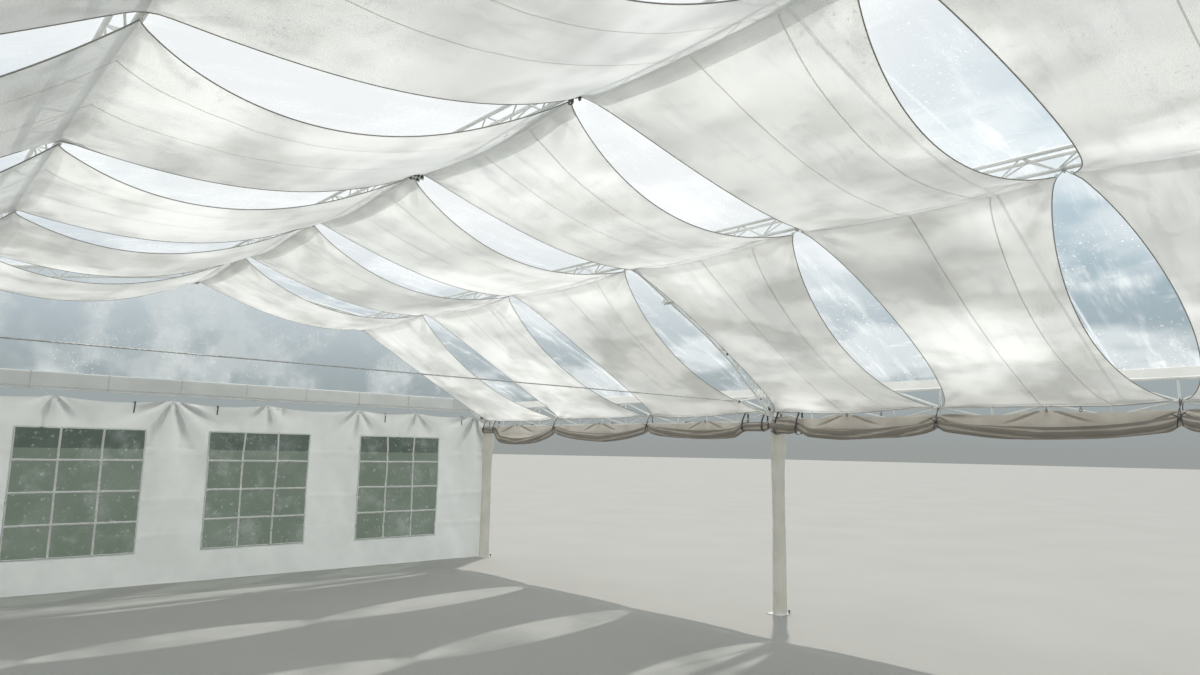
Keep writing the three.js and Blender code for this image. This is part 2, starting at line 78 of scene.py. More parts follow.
# %% Select, edit, settle, join and copy
def deselect():
    """Lets go of everything, in object mode."""
    if bpy.context.mode != "OBJECT":
        bpy.ops.object.mode_set(mode="OBJECT")
    bpy.ops.object.select_all(action="DESELECT")


def pick(*items):
    """Selects these objects alone, and makes the first one active."""
    deselect()
    for item in items:
        item.select_set(True)
    bpy.context.view_layer.objects.active = items[0]


@contextmanager
def editing(selected="SELECT", kind=None):
    """Edit mode on the active object, with all or nothing selected, or what its mesh says for None."""
    bpy.ops.object.mode_set(mode="EDIT")
    if kind:
        bpy.ops.mesh.select_mode(type=kind)
    if selected:
        bpy.ops.mesh.select_all(action=selected)
    yield
    bpy.ops.object.mode_set(mode="OBJECT")


def select_faces(item, chosen):
    """Selects the faces for which chosen(face) is true, for the next edit."""
    with editing("DESELECT", "FACE"):
        pass
    for face in item.data.polygons:
        face.select = chosen(face)


def stretched(item, value, centre):
    """Scales a finished mesh about a point."""
    pick(item)
    with editing():
        bpy.ops.transform.resize(value=value, center_override=centre)
    return item


def settle(item):
    """Moves an object's place, turn and size into its mesh."""
    pick(item)
    bpy.ops.object.transform_apply(location=True, rotation=True, scale=True)
    return item


def join(name, parts):
    """Makes one named object of several."""
    pick(*parts)
    if len(parts) > 1:
        bpy.ops.object.join()
    whole = bpy.context.object
    whole.name = whole.data.name = name
    return settle(whole)


def copied(item, name, shift=(0, 0, 0), flip=(1, 1, 1), turn=0.0):
    """A copy with its own mesh, mirrored by flip, turned about Z and moved."""
    pick(item)
    bpy.ops.object.duplicate()
    twin = bpy.context.object
    twin.scale, twin.location = flip, shift
    twin.rotation_euler[2] = turn
    settle(twin)
    twin.name = twin.data.name = name
    if flip[0] * flip[1] * flip[2] < 0:
        with editing():
            bpy.ops.mesh.normals_make_consistent(inside=False)
    return twin


# %% The tent's sides, gables and the turns of its rings
SIDES = (("left", -1), ("right", 1))
GABLES = {"near": -1, "far": 1}
FACING_Y, FACING_X = (math.pi / 2, 0, 0), (0, math.pi / 2, 0)


# %% [markdown]
# ## Shader maths as plain Python
# A material's node tree is quicker to read as an expression. `Value` wraps a socket and adds a Math node
# for each operator. `Finish` holds the tree of one material or of the world, and its `node` method makes
# every other node: its type, then its settings, which may be a ramp's stops, then the values or links of
# its sockets.

# %% Value and Finish
class Value:
    """A socket that can be added, multiplied and compared with numbers and with other values."""

    def __init__(self, finish, socket):
        self.finish, self.socket = finish, socket

    def maths(self, operation, *terms):
        made = self.finish.node("ShaderNodeMath", {"operation": operation}, dict(enumerate(terms)))
        return Value(self.finish, made.outputs[0])

    def __add__(self, other):
        return self.maths("ADD", self, other)

    __radd__ = __add__

    def __mul__(self, other):
        return self.maths("MULTIPLY", self, other)

    __rmul__ = __mul__

    def __sub__(self, other):
        return self.maths("SUBTRACT", self, other)

    def __rsub__(self, other):
        return self.maths("SUBTRACT", other, self)

    def __abs__(self):
        return self.maths("ABSOLUTE", self)

    def sine(self):
        return self.maths("SINE", self)

    def at_most(self, top):
        return self.maths("MINIMUM", self, top)

    def within(self, low, high):
        """0 below low and 1 above high, with a soft step between them."""
        sockets = {"Value": self, "From Min": low, "From Max": high}
        made = self.finish.node("ShaderNodeMapRange", {"interpolation_type": "SMOOTHSTEP"}, sockets)
        return Value(self.finish, made.outputs[0])


def set_stops(ramp, stops):
    """Gives a new ramp its stops, each a position and a colour, from left to right."""
    ramp.elements[0].position, ramp.elements[1].position = stops[0][0], stops[-1][0]
    for position, _ in stops[1:-1]:
        ramp.elements.new(position)
    for element, (_, colour) in zip(ramp.elements, stops):
        element.color = colour


class Finish:
    """The nodes of one material, or of a world."""

    def __init__(self, owner):
        self.owner = owner
        owner.use_nodes = True
        self.tree = owner.node_tree
        self.tree.nodes.clear()

    def node(self, kind, settings=None, sockets=None):
        made = self.tree.nodes.new(kind)
        for key, value in (settings or {}).items():
            if key == "stops":
                set_stops(made.color_ramp, value)
            else:
                setattr(made, key, value)
        for key, value in (sockets or {}).items():
            socket = made.inputs[key]
            source = value.socket if isinstance(value, Value) else value
            if isinstance(source, bpy.types.NodeSocket):
                self.tree.links.new(source, socket)
            else:
                socket.default_value = source
        return made

    def place(self, which="Object", scale=(1, 1, 1)):
        """Coordinates on the piece, scaled: its object space in metres, or its UV map."""
        source = self.node("ShaderNodeTexCoord").outputs[which]
        return self.node("ShaderNodeMapping", {}, {"Vector": source, "Scale": scale}).outputs[0]

    def along(self, vector, axis):
        return Value(self, self.node("ShaderNodeSeparateXYZ", {}, {"Vector": vector}).outputs[axis])

    def noise(self, vector, scale, detail=3.0, rough=0.5):
        sockets = {"Vector": vector, "Scale": scale, "Detail": detail, "Roughness": rough}
        return Value(self, self.node("ShaderNodeTexNoise", {}, sockets).outputs[0])

    def blend(self, factor, first, second):
        """The first colour where the factor is 0, the second where it is 1."""
        sockets = {0: factor, 6: first, 7: second}
        return self.node("ShaderNodeMix", {"data_type": "RGBA"}, sockets).outputs[2]

    def bump(self, height, strength, distance):
        sockets = {"Height": height, "Strength": strength, "Distance": distance}
        return self.node("ShaderNodeBump", {}, sockets).outputs[0]

    def mixed(self, factor, first, second):
        """The first shader where the factor is 0, the second where it is 1."""
        return self.node("ShaderNodeMixShader", {}, {0: factor, 1: first.outputs[0], 2: second.outputs[0]})

    def surface(self, shader, output="ShaderNodeOutputMaterial"):
        """Sends a shader to the output, and gives back the material or the world."""
        self.node(output, {}, {"Surface": shader.outputs[0]})
        return self.owner


def new_material(name):
    return Finish(bpy.data.materials.new(name))


# %% [markdown]
# ## Steel and rope finishes
# The lattice tubes are painted white, and after years of being bolted up and taken down the paint is dull,
# greyer in streaks, and chipped to dark metal in small spots. The paint is one shader whose colour,
# roughness and bump all read the same patches of noise, so that a chip is at once darker, rougher and
# lower.

# %% Painted steel, galvanised rope, dark iron
def painted_steel():
    steel = new_material("painted_steel")
    spot = steel.place()
    cloud = steel.noise(spot, 5.0)
    grain = steel.noise(spot, 260.0, 2.0)
    chips = steel.noise(spot, 55.0, 4.0, 0.65).within(0.66, 0.7)
    paint = steel.blend(cloud.within(0.3, 0.75), (0.95, 0.95, 0.93, 1), (0.8, 0.8, 0.77, 1))
    shader = steel.node("ShaderNodeBsdfPrincipled", {}, {
        "Base Color": steel.blend(chips, paint, (0.24, 0.22, 0.2, 1)),
        "Roughness": cloud * 0.2 + chips * 0.25 + 0.3,
        "Metallic": chips * 0.5,
        "Normal": steel.bump(grain * 0.4 - chips, 0.25, 0.0006),
    })
    return steel.surface(shader)


def rope_finish(name, light, dark, rough=0.75, metal=0.0):
    """Twisted rope or strap: fine slanting strands, a little dirt, and fuzz in the bump."""
    rope = new_material(name)
    spot = rope.place()
    strands = (rope.along(spot, 0) + rope.along(spot, 1) + rope.along(spot, 2) * 0.7) * 900
    dirt = rope.noise(spot, 22.0, 4.0)
    fuzz = rope.noise(spot, 400.0, 2.0)
    shader = rope.node("ShaderNodeBsdfPrincipled", {}, {
        "Base Color": rope.blend(dirt.within(0.35, 0.7), light, dark),
        "Roughness": fuzz * 0.2 + rough - 0.1,
        "Normal": rope.bump(strands.sine() * 0.5 + fuzz, 0.5, 0.001),
        "Metallic": metal,
    })
    return rope.surface(shader)


STEEL = painted_steel()
WIRE = rope_finish("galvanised_wire", (0.74, 0.75, 0.74, 1), (0.52, 0.52, 0.5, 1), 0.45, 0.35)
WHITE_CORD = rope_finish("white_cord", (0.82, 0.82, 0.79, 1), (0.62, 0.61, 0.57, 1))
DARK_STRAP = rope_finish("dark_strap", (0.11, 0.11, 0.11, 1), (0.05, 0.05, 0.05, 1), 0.7)
IRON = rope_finish("dark_iron", (0.2, 0.2, 0.19, 1), (0.1, 0.09, 0.08, 1), 0.5, 0.7)

# %% [markdown]
# ## Cloth finishes
# The lining is a thin warm white cloth that glows because daylight comes through it. A surface that only
# reflects would look like card, so the cloth mixes a reflecting shader with a translucent one. The weave
# and the slubs follow the cloth's own UV map, which is measured in metres of cloth. Broad soft clouds of
# painted shade, greyer towards the eaves, stand for the shadows of clouds and trees on the roof: where
# they lie, less daylight passes. They read the place in the tent instead of the UV map. Painted shade also
# darkens the folds: it reads an attribute that is measured on each sheet and tells valleys from ridges.

# %% Cloth
def cloth(name, light, dark, through, size, patch=1.1, weave=700.0, sheen=0.25, rough=0.8, painted_cloud_shade=0.0,
          folded=0.0):
    """Woven cloth. through is how much light passes, and size the cloth's width and length in metres."""
    made = new_material(name)
    threads = made.place("UV", (size[0], size[1], 1))
    spot = made.place()
    warp = (made.along(threads, 0) * weave).sine()
    weft = (made.along(threads, 1) * weave).sine()
    slubs = made.noise(made.place("UV", (size[0] * 0.6, size[1] * 30, 1)), 4.0, 3.0)
    patches = made.noise(spot, patch, 3.0, 0.55)
    stains = made.noise(spot, 7.0, 5.0, 0.6).within(0.58, 0.78)
    tone = patches.within(0.34, 0.68) * 0.6 + slubs * 0.12 + stains * 0.12
    passing = through
    # Painted shade: soft clouds of shadow, stronger towards the eaves, darken the cloth's colour and let less
    # light through it.
    if painted_cloud_shade:
        clouds = made.noise(made.place("Object", (1, 0.8, 0.5)), 0.55, 4.0, 0.55).within(0.4, 0.6)
        smears = made.noise(made.place("Object", (1.5, 0.8, 1.5)), 1.5, 3.0, 0.5).within(0.47, 0.66)
        eave_shade = abs(made.along(spot, 0)).within(0.3, 4.6)
        tone = tone * 0.2 + (clouds * 0.6 + smears * 0.35 + 0.14) * (eave_shade * 0.35 + 0.65) * painted_cloud_shade
        passing = through - tone * 0.45
    colour = made.blend(tone.at_most(1.0), light, dark)
    # Painted shade in the folds: the colour darkens towards a shadow colour where the fold attribute marks a
    # valley.
    fold = Value(made, made.node("ShaderNodeAttribute", {"attribute_name": "fold"}).outputs["Fac"])
    fold_shadow_colour = [channel * 0.45 for channel in dark[:3]] + [1]
    colour = made.blend(fold.within(0.04, 0.9) * folded, colour, fold_shadow_colour)
    bump = made.bump(warp * 0.3 + weft * 0.3 + slubs * 1.4 + patches * 2, 0.35, 0.0015)
    face = made.node("ShaderNodeBsdfPrincipled", {}, {
        "Base Color": colour, "Roughness": slubs * 0.15 + rough - 0.05, "Normal": bump, "Sheen Weight": sheen,
    })
    glow = made.node("ShaderNodeBsdfTranslucent", {}, {"Color": colour, "Normal": bump})
    return made.surface(made.mixed(passing, face, glow))


LINING_SIZE = (10.9, 2.0)
# The lining gets painted cloud shade, and painted shade in its folds.
LINING = cloth("lining_cloth", (0.94, 0.93, 0.9, 1), (0.74, 0.73, 0.7, 1), 0.82, LINING_SIZE, painted_cloud_shade=1.0,
               folded=0.25)
LINING_DOUBLE = cloth("doubled_lining", (0.93, 0.94, 0.93, 1), (0.82, 0.83, 0.82, 1), 0.7, LINING_SIZE)
SEAM = cloth("lining_seam", (0.9, 0.88, 0.84, 1), (0.66, 0.65, 0.61, 1), 0.6, LINING_SIZE)
HEM = cloth("hem_cloth", (0.56, 0.53, 0.49, 1), (0.4, 0.38, 0.35, 1), 0.4, (1, 1))
SLEEVE = cloth("sleeve_cloth", (0.95, 0.92, 0.85, 1), (0.8, 0.77, 0.69, 1), 0.25, (0.6, 2.2), 2.5)
# The curtains and the walls get painted shade in their folds.
CURTAIN = cloth("curtain_cloth", (0.88, 0.82, 0.75, 1), (0.64, 0.57, 0.49, 1), 0.38, (1.0, 6.2), 3.0,
                folded=0.72)
WALL = cloth("wall_sheeting", (0.88, 0.9, 0.88, 1), (0.76, 0.78, 0.76, 1), 0.42, (10.1, 2.5), 1.8, 500, 0.0,
             0.5, folded=0.5)
BAND_SIZE = (10.5, 0.5)
BAND = cloth("coated_band", (0.9, 0.91, 0.9, 1), (0.78, 0.79, 0.78, 1), 0.25, BAND_SIZE, 2.0, 500, 0.0, 0.55)
TAPE = cloth("welded_tape", (0.95, 0.95, 0.92, 1), (0.84, 0.84, 0.8, 1), 0.6, BAND_SIZE, 3.0, 500, 0.0, 0.35)
GLAZING_BAR = cloth("glazing_bar", (0.98, 0.98, 0.97, 1), (0.9, 0.9, 0.88, 1), 0.2, BAND_SIZE, 3.0, 500, 0.0,
                    0.4)


# %% [markdown]
# ## Clear sheet
# Clear vinyl is seen mostly by what is wrong with it: whitish creases where it was folded, cloudy patches,
# streaks, a blue-grey cast, and small bright drops and blisters that catch the light. The sheet is a
# see-through shader mixed with a milky one that reflects and glows. The mix is a haze, strongest in the
# clouds and drops. A glass shader would darken what lies behind it and cost far more.

# %% Clear vinyl
def clear_vinyl(name, haze, tint, creases=2.4, cloudy=0.42, wet=0.5, streaky=0.4):
    made = new_material(name)
    spot = made.place()
    ripple = made.noise(spot, 2.2, 2.0, 0.5)
    streaks = made.noise(made.place("Object", (0.5, 2.2, 0.5)), creases, 4.0, 0.65)
    smears = made.noise(made.place("Object", (1.6, 0.5, 1.6)), creases * 2, 3.0, 0.6).within(0.6, 0.72)
    cloud = made.noise(made.place("Object", (1, 0.7, 1)), 1.1, 3.0, 0.55)
    drops = made.noise(spot, 38.0, 2.0, 0.4).within(0.66, 0.69) * made.noise(spot, 1.3, 2.0).within(0.5, 0.6)
    milk = smears * 0.2 + drops * wet + haze
    milk = milk + streaks.within(0.48, 0.74) * streaky + cloud.within(0.44, 0.62) * cloudy
    bump = made.bump(ripple * 2 + streaks * 0.6, 0.4, 0.02)
    face = made.node("ShaderNodeBsdfPrincipled", {}, {
        "Base Color": made.blend(cloud, (0.93, 0.95, 0.96, 1), (0.8, 0.86, 0.9, 1)),
        "Roughness": streaks * 0.25 + 0.08, "Normal": bump,
    })
    glow = made.node("ShaderNodeBsdfTranslucent", {}, {"Color": (0.93, 0.96, 0.98, 1), "Normal": bump})
    open_air = made.node("ShaderNodeBsdfTransparent", {}, {"Color": tint})
    film = made.mixed(0.7, face, glow)
    return made.surface(made.mixed(milk.at_most(0.9), open_air, film))


ROOF_VINYL = clear_vinyl("clear_roof_vinyl", 0.04, (0.93, 0.96, 0.97, 1), 2.4, 0.46)
WELD_VINYL = clear_vinyl("welded_lap_vinyl", 0.5, (0.93, 0.96, 0.97, 1), 2.4, 0.3)
PANE_VINYL = clear_vinyl("window_vinyl", 0.0, (0.24, 0.3, 0.25, 1), 5.0, 0.05, 0.1, 0.14)


# %% [markdown]
# ## Round tubes from extruded lines
# Real lattice beams are welded from round tube with a zigzag of bent bar between the tubes. A tube could be
# a cylinder, but a bent bar can't, so each bar starts as one point that is extruded from bend to bend, and
# the line then gets its thickness as a curve's bevel. Bends are rounded over a few points, as a bar bender
# leaves them.

# %% Points, lines and bars
@contextmanager
def one_point(radius, location):
    """A new mesh in edit mode: a small circle at a place, merged into one selected point."""
    deselect()
    bpy.ops.mesh.primitive_circle_add(vertices=3, radius=radius, location=location)
    with editing(kind="VERT"):
        bpy.ops.mesh.merge(type="CENTER")
        yield


def thickened(radius, resolution=0, caps=False):
    """Makes the active line round and solid."""
    bpy.ops.object.convert(target="CURVE")
    line = bpy.context.object.data
    line.bevel_depth, line.bevel_resolution, line.use_fill_caps = radius, resolution, caps
    bpy.ops.object.convert(target="MESH")
    return bpy.context.object


def bar(route, radius, sides=8, closed=False):
    """A round bar along a route of points."""
    route = [Vector(point) for point in route]
    with one_point(radius, route[0]):
        for start, end in zip(route, route[1:]):
            bpy.ops.mesh.extrude_region_move(TRANSFORM_OT_translate={"value": end - start})
        if closed:
            bpy.ops.mesh.select_all(action="SELECT")
            bpy.ops.mesh.remove_doubles(threshold=1e-5)
    made = thickened(radius, (sides - 4) // 2, True)
    bpy.ops.object.shade_smooth_by_angle(angle=math.radians(50))
    return settle(made)


def rounded(corners, bend):
    """A route whose inner corners are cut by three points, bend metres from the corner."""
    corners = [Vector(corner) for corner in corners]
    route = [corners[0]]
    for before, corner, after in zip(corners, corners[1:], corners[2:]):
        first = corner + (before - corner).normalized() * bend
        last = corner + (after - corner).normalized() * bend
        route += [first, (first + corner * 2 + last) / 4, last]
    return route + [corners[-1]]


# %% Plates, bolts and rings
def plate(centre, size, turn=0.0, edge=0.0015):
    """A steel plate with its edges dressed, turned about Y."""
    deselect()
    bpy.ops.mesh.primitive_cube_add(size=1, location=centre, rotation=(0, turn, 0), scale=size)
    settle(bpy.context.object)
    with editing():
        bpy.ops.mesh.bevel(offset=edge, segments=1, affect="EDGES")
    return bpy.context.object


def bolt(centre, axis, head=0.012, length=0.034):
    """A hexagon bolt along an axis, with its nut and a washer under the head."""
    turn = Vector(axis).to_track_quat("Z", "Y").to_euler()
    parts = []
    discs = ((6, head, 0.5, 0.009), (6, head, -0.5, 0.01), (16, head * 1.35, 0.36, 0.003),
             (10, head * 0.5, 0.0, 1.25 * length))
    for sides, radius, start, depth in discs:
        deselect()
        middle = Vector(centre) + Vector(axis).normalized() * start * length
        bpy.ops.mesh.primitive_cylinder_add(vertices=sides, radius=radius, depth=depth, location=middle,
                                            rotation=turn)
        with editing():
            bpy.ops.mesh.bevel(offset=0.0008, segments=1, affect="EDGES")
        parts.append(bpy.context.object)
    return join("bolt", parts)


def ring(centre, turn, major, minor, sides=20):
    """A closed round ring."""
    deselect()
    bpy.ops.mesh.primitive_torus_add(location=centre, rotation=turn, major_radius=major, minor_radius=minor,
                                     major_segments=sides, minor_segments=8)
    bpy.ops.object.shade_smooth()
    return settle(bpy.context.object)


def knot(centre, radius, size):
    """A small round lump, wider or taller by size."""
    deselect()
    bpy.ops.mesh.primitive_ico_sphere_add(subdivisions=2, radius=radius, location=centre)
    return settle(stretched(bpy.context.object, size, centre))


# %% Paint and dress
def painted(item, material):
    """Gives an object one material."""
    item.data.materials.clear()
    item.data.materials.append(material)
    return item


def dress(piece, stands_for=()):
    """The piece belongs to the tent: it rides on its one body, and may stand for solids."""
    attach(piece, "root")
    if stands_for:
        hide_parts(*stands_for)
    return piece


# %% [markdown]
# ## Rafters
# Half a frame runs from the ridge plate, bends at the purlin, and widens into a haunch before the leg. In
# section it is a V: one tube below and two above. The right half is modelled once, and all six are copies
# of it, mirrored and moved, each with its own mesh.

# %% Chord lines of a rafter
BAY, LEG_X, PURLIN_X, RISE, OFFSET = 6.25, 5.07, 2.5, 0.12, 0.06
KNEE_X, KNEE_OUTER = LEG_X - OFFSET, LEG_X + OFFSET
LOWER_CHORD = [(0, 4.215), (PURLIN_X, 3.835), (3.75, 3.215), (4.2, 2.945), (4.62, 2.62), (KNEE_X, 2.32)]
UPPER_CHORD = [(0, 4.3364), (PURLIN_X, 3.9608), (LEG_X, 2.74)]
CHORD_RADIUS, LACE_RADIUS = 0.0145, 0.0065
RIDGE_GAP, SEAT_Y, HEAD_PLATE_Z = 0.012, 0.071, 2.2843


def chord(route):
    """A long tube of the frame."""
    return bar(route, CHORD_RADIUS, 12)


def height_on(path, x):
    """Height of a bent line at a distance, carried on past its last point."""
    for (start, low), (end, high) in zip(path, path[1:]):
        if x <= end:
            break
    return low + (high - low) * (x - start) / (end - start)


def lower_z(x):
    return height_on(LOWER_CHORD, abs(x))


def upper_z(x):
    return height_on(UPPER_CHORD, abs(x))


# %% Lacing between one chord below and two above
def lacing(start, end, step, low, high, bend=0.012):
    """Two zigzags from the lower chord to the upper ones, and rungs between the upper ones."""
    count = max(2, round((end - start) / step))
    step = (end - start) / count
    parts = []
    for side in (-1, 1):
        corners = []
        for index in range(count):
            x = start + index * step
            corners += [(x, 0, low(x)), (x + step / 2, side * OFFSET, high(x + step / 2))]
        corners.append((end, 0, low(end)))
        parts.append(bar(rounded(corners, bend), LACE_RADIUS))
    for index in range(count):
        x = start + (index + 0.5) * step
        parts.append(bar([(x, -OFFSET, high(x)), (x, OFFSET, high(x))], LACE_RADIUS, 6))
    return parts


# %% The right half of a frame
def right_rafter():
    """The three chords and the lacing, which stops for the splice and starts again closer in the haunch."""
    lower = [(x, 0, z) for x, z in LOWER_CHORD]
    lower[0] = (RIDGE_GAP, 0, lower_z(RIDGE_GAP))
    parts = [chord(rounded(lower, 0.05))]
    for side in (-1, 1):
        upper = [(x, side * OFFSET, upper_z(x)) for x in (RIDGE_GAP, PURLIN_X, KNEE_OUTER)]
        parts.append(chord(rounded(upper, 0.05)))
    for start, end, step in ((0.1, 3.1, 0.3), (3.22, 4.62, 0.28), (4.66, 4.97, 0.155)):
        parts += lacing(start, end, step, lower_z, upper_z)
    return parts


def rafter_plates():
    """Ridge plate, splice, purlin seats, knee posts and head plate, knee plates, and ears for long pins."""
    parts = [plate((0.0045, 0, (upper_z(0) + lower_z(0)) / 2), (0.008, 0.15, 0.15))]
    slope = math.atan2(lower_z(3.1) - lower_z(3.2), 0.1)
    for x in (3.145, 3.175):
        parts.append(plate((x, 0, (lower_z(x) + upper_z(x)) / 2), (0.01, 0.16, 0.19), slope))
    for side in (-1, 1):
        parts.append(plate((PURLIN_X, side * SEAT_Y, 3.875), (0.06, 0.008, 0.17)))
        parts.append(chord([(KNEE_OUTER, side * OFFSET, z) for z in (HEAD_PLATE_Z, upper_z(KNEE_OUTER))]))
    parts.append(plate((LEG_X, 0, HEAD_PLATE_Z), (0.15, 0.15, 0.008)))
    knee_z = upper_z(KNEE_X) - 0.015
    parts.append(chord([(KNEE_X, 0, HEAD_PLATE_Z), (KNEE_X, 0, knee_z)]))
    parts.append(chord([(KNEE_X, -OFFSET, knee_z), (KNEE_X, OFFSET, knee_z)]))
    parts.append(plate((4.82, 0, 2.478), (0.34, 0.006, 0.085), math.radians(37.6)))
    parts.append(plate((4.955, 0, 2.47), (0.11, 0.006, 0.12)))
    for side in (-1, 1):
        parts.append(plate((0.03, side * 0.035, 4.165), (0.05, 0.008, 0.075)))
        parts.append(plate((PURLIN_X - 0.05, side * 0.03, 3.8), (0.06, 0.006, 0.06)))
    return parts


def rafter_bolts():
    """Bolts through the splice, the haunch, the purlin seats and the ridge plate, and two long pins."""
    across, splice_z = (0, 1, 0), (lower_z(3.16) + upper_z(3.16)) / 2
    spots = [((3.16, side * 0.055, splice_z + rise), (1, 0, -0.48)) for side in (-1, 1)
             for rise in (-0.05, 0.06)]
    spots += [((x, 0, z), across) for x, z in ((4.05, 3.075), (4.14, 3.03), (4.74, 2.54), (4.9, 2.42),
                                               (4.97, 2.5))]
    spots += [((PURLIN_X, side * SEAT_Y, z), across) for side in (-1, 1) for z in (3.83, 3.92)]
    spots += [((RIDGE_GAP, side * 0.05, z), (1, 0, 0)) for side in (-1, 1) for z in (4.23, 4.3)]
    long_pins = [bolt((0.035, 0, 4.15), across, 0.014, 0.09),
                 bolt((PURLIN_X - 0.055, 0, 3.79), across, 0.012, 0.08)]
    return [bolt(centre, axis) for centre, axis in spots] + long_pins


right_half = join("rafter_tubes", [painted(part, STEEL) for part in right_rafter() + rafter_plates()]
                  + [painted(part, IRON) for part in rafter_bolts()])
print("rafter faces:", len(right_half.data.polygons))

# %% Six rafters
FRAME_LINES = {"near": -BAY, "middle": 0.0, "far": BAY}
for line_name, line_y in FRAME_LINES.items():
    for side_name, side in SIDES:
        half = copied(right_half, f"rafter_tubes_{side_name}_{line_name}", (0, line_y, 0), (side, 1, 1))
        dress(half, [f"rafter_{side_name}_{line_name}"])
bpy.data.objects.remove(right_half)

# %% [markdown]
# ## Purlins and eave lattices
# Straight beams join the frames: a V-shaped one along the ridge and one along each roof slope, and a flat
# one under each eave, whose posts and diagonals show between the drapes' lower edge and the curtains.

# %% Purlins
PURLIN_GAP = 0.0753


def purlin(name, x, low_z):
    """A straight V-shaped truss over one bay, made along X and then turned along Y."""
    start, end, top_z = PURLIN_GAP, BAY - PURLIN_GAP, low_z + RISE
    parts = [chord([(start, 0, low_z), (end, 0, low_z)])]
    for side in (-1, 1):
        parts.append(chord([(start, side * OFFSET, top_z), (end, side * OFFSET, top_z)]))
    parts += lacing(start + 0.05, end - 0.05, 0.41, lambda _: low_z, lambda _: top_z)
    for at in (start + 0.004, end - 0.004):
        parts.append(plate((at, 0, low_z + RISE / 2), (0.008, 0.15, 0.15)))
    beam = join(name, [painted(part, STEEL) for part in parts])
    return copied(beam, name, (x, -BAY, 0), turn=math.pi / 2), beam


RIDGE_LOW_Z, PURLIN_LOW_Z = 4.203, 3.801
PURLIN_LINES = (("purlin_left", -PURLIN_X, PURLIN_LOW_Z), ("ridge_purlin", 0.0, RIDGE_LOW_Z),
                ("purlin_right", PURLIN_X, PURLIN_LOW_Z))
for line_name, x, low_z in PURLIN_LINES:
    near_beam, pattern = purlin(f"{line_name}_tubes_near", x, low_z)
    dress(copied(near_beam, f"{line_name}_tubes_far", (0, BAY, 0)), [f"{line_name}_far"])
    dress(near_beam, [f"{line_name}_near"])
    bpy.data.objects.remove(pattern)

# %% Eave lattices
EAVE_X, EAVE_TOP, EAVE_BOTTOM, EAVE_RAIL, EAVE_PANELS = KNEE_X, 2.59, 2.395, 2.275, 12
EAVE_GAP, EAVE_LACE, EAVE_POST = 0.0153, 0.0105, 0.0115


def eave_lattice():
    """Three tubes, the lowest one shorter, a zigzag on each side of the middle one, and posts."""
    start, end = -BAY + EAVE_GAP, -EAVE_GAP
    parts = [chord([(EAVE_X, start, z), (EAVE_X, end, z)]) for z in (EAVE_TOP, EAVE_BOTTOM)]
    places = [start + 0.015 + (end - start - 0.03) * index / EAVE_PANELS for index in range(EAVE_PANELS + 1)]
    parts.append(chord([(EAVE_X, places[1] - 0.015, EAVE_RAIL), (EAVE_X, places[-2] + 0.015, EAVE_RAIL)]))
    for odd in (EAVE_TOP, EAVE_RAIL):
        corners = [(EAVE_X, y, odd if index % 2 else EAVE_BOTTOM) for index, y in enumerate(places)]
        parts.append(bar(rounded(corners, 0.02), EAVE_LACE))
    for index, y in enumerate(places):
        foot = EAVE_BOTTOM if index % EAVE_PANELS == 0 else EAVE_RAIL
        parts.append(bar([(EAVE_X, y, foot), (EAVE_X, y, EAVE_TOP)], EAVE_POST))
    return join("eave_tubes_right_near", [painted(part, STEEL) for part in parts])


eave = eave_lattice()
for side_name, side in SIDES:
    for bay_name, shift in (("near", 0), ("far", BAY)):
        lattice = copied(eave, f"eave_tubes_{side_name}_{bay_name}", (0, shift, 0), (side, 1, 1))
        dress(lattice, [f"eave_lattice_{side_name}_{bay_name}"])
bpy.data.objects.remove(eave)

# %% [markdown]
# ## The tie cable
# A wire rope runs across the middle frame from knee to knee and keeps the legs from spreading. It is laid
# up from strands, which a Screw modifier makes: a point beside the axis turns round it and moves along it.

# %% Wire rope, brackets and turnbuckle
CABLE_Z, CABLE_END, CABLE_EYE = 2.49, 4.2997, 4.33
BRACKET_RADIUS = 0.0105


def strands(name, length, radius, pitch, count, steps=6):
    """Strands twisted round the X axis, from -length / 2 to length / 2."""
    parts = []
    for index in range(count):
        angle = 2 * math.pi * index / count
        spot = (0, radius * math.cos(angle), radius * math.sin(angle))
        with one_point(radius, (-length / 2, 0, 0)):
            bpy.ops.transform.translate(value=spot)
        screw = bpy.context.object.modifiers.new("lay", "SCREW")
        screw.axis, screw.steps, screw.render_steps = "X", steps, steps
        screw.iterations = round(length / pitch)
        screw.screw_offset = length / screw.iterations
        bpy.ops.object.modifier_apply(modifier=screw.name)
        parts.append(thickened(radius * 1.05))
        bpy.ops.object.shade_smooth()
    return join(name, parts)


cable = painted(strands("tie_rope", 2 * CABLE_END - 0.12, 0.003, 0.11, 3), WIRE)
cable = copied(cable, "tie_cable_rope", (0, 0, CABLE_Z))
bpy.data.objects.remove(bpy.data.objects["tie_rope"])
fittings = []
for side in (-1, 1):
    fittings.append(ring((side * (CABLE_END - 0.03), 0, CABLE_Z), FACING_Y, 0.022, 0.0042))
    for shift in (0.09, 0.125, 0.16):
        fittings.append(plate((side * (CABLE_END - shift), 0, CABLE_Z), (0.012, 0.02, 0.024)))
for y in (-0.013, 0.013):
    fittings.append(bar([(3.72, y, CABLE_Z), (3.72 + 0.24, y, CABLE_Z)], 0.0045))
for x in (3.715, 3.965):
    fittings.append(plate((x, 0, CABLE_Z), (0.024, 0.034, 0.014), 0.0, 0.003))
cable = join("tie_cable_rope", [cable] + [painted(part, WIRE) for part in fittings])
dress(cable, ["tie_cable_middle"])

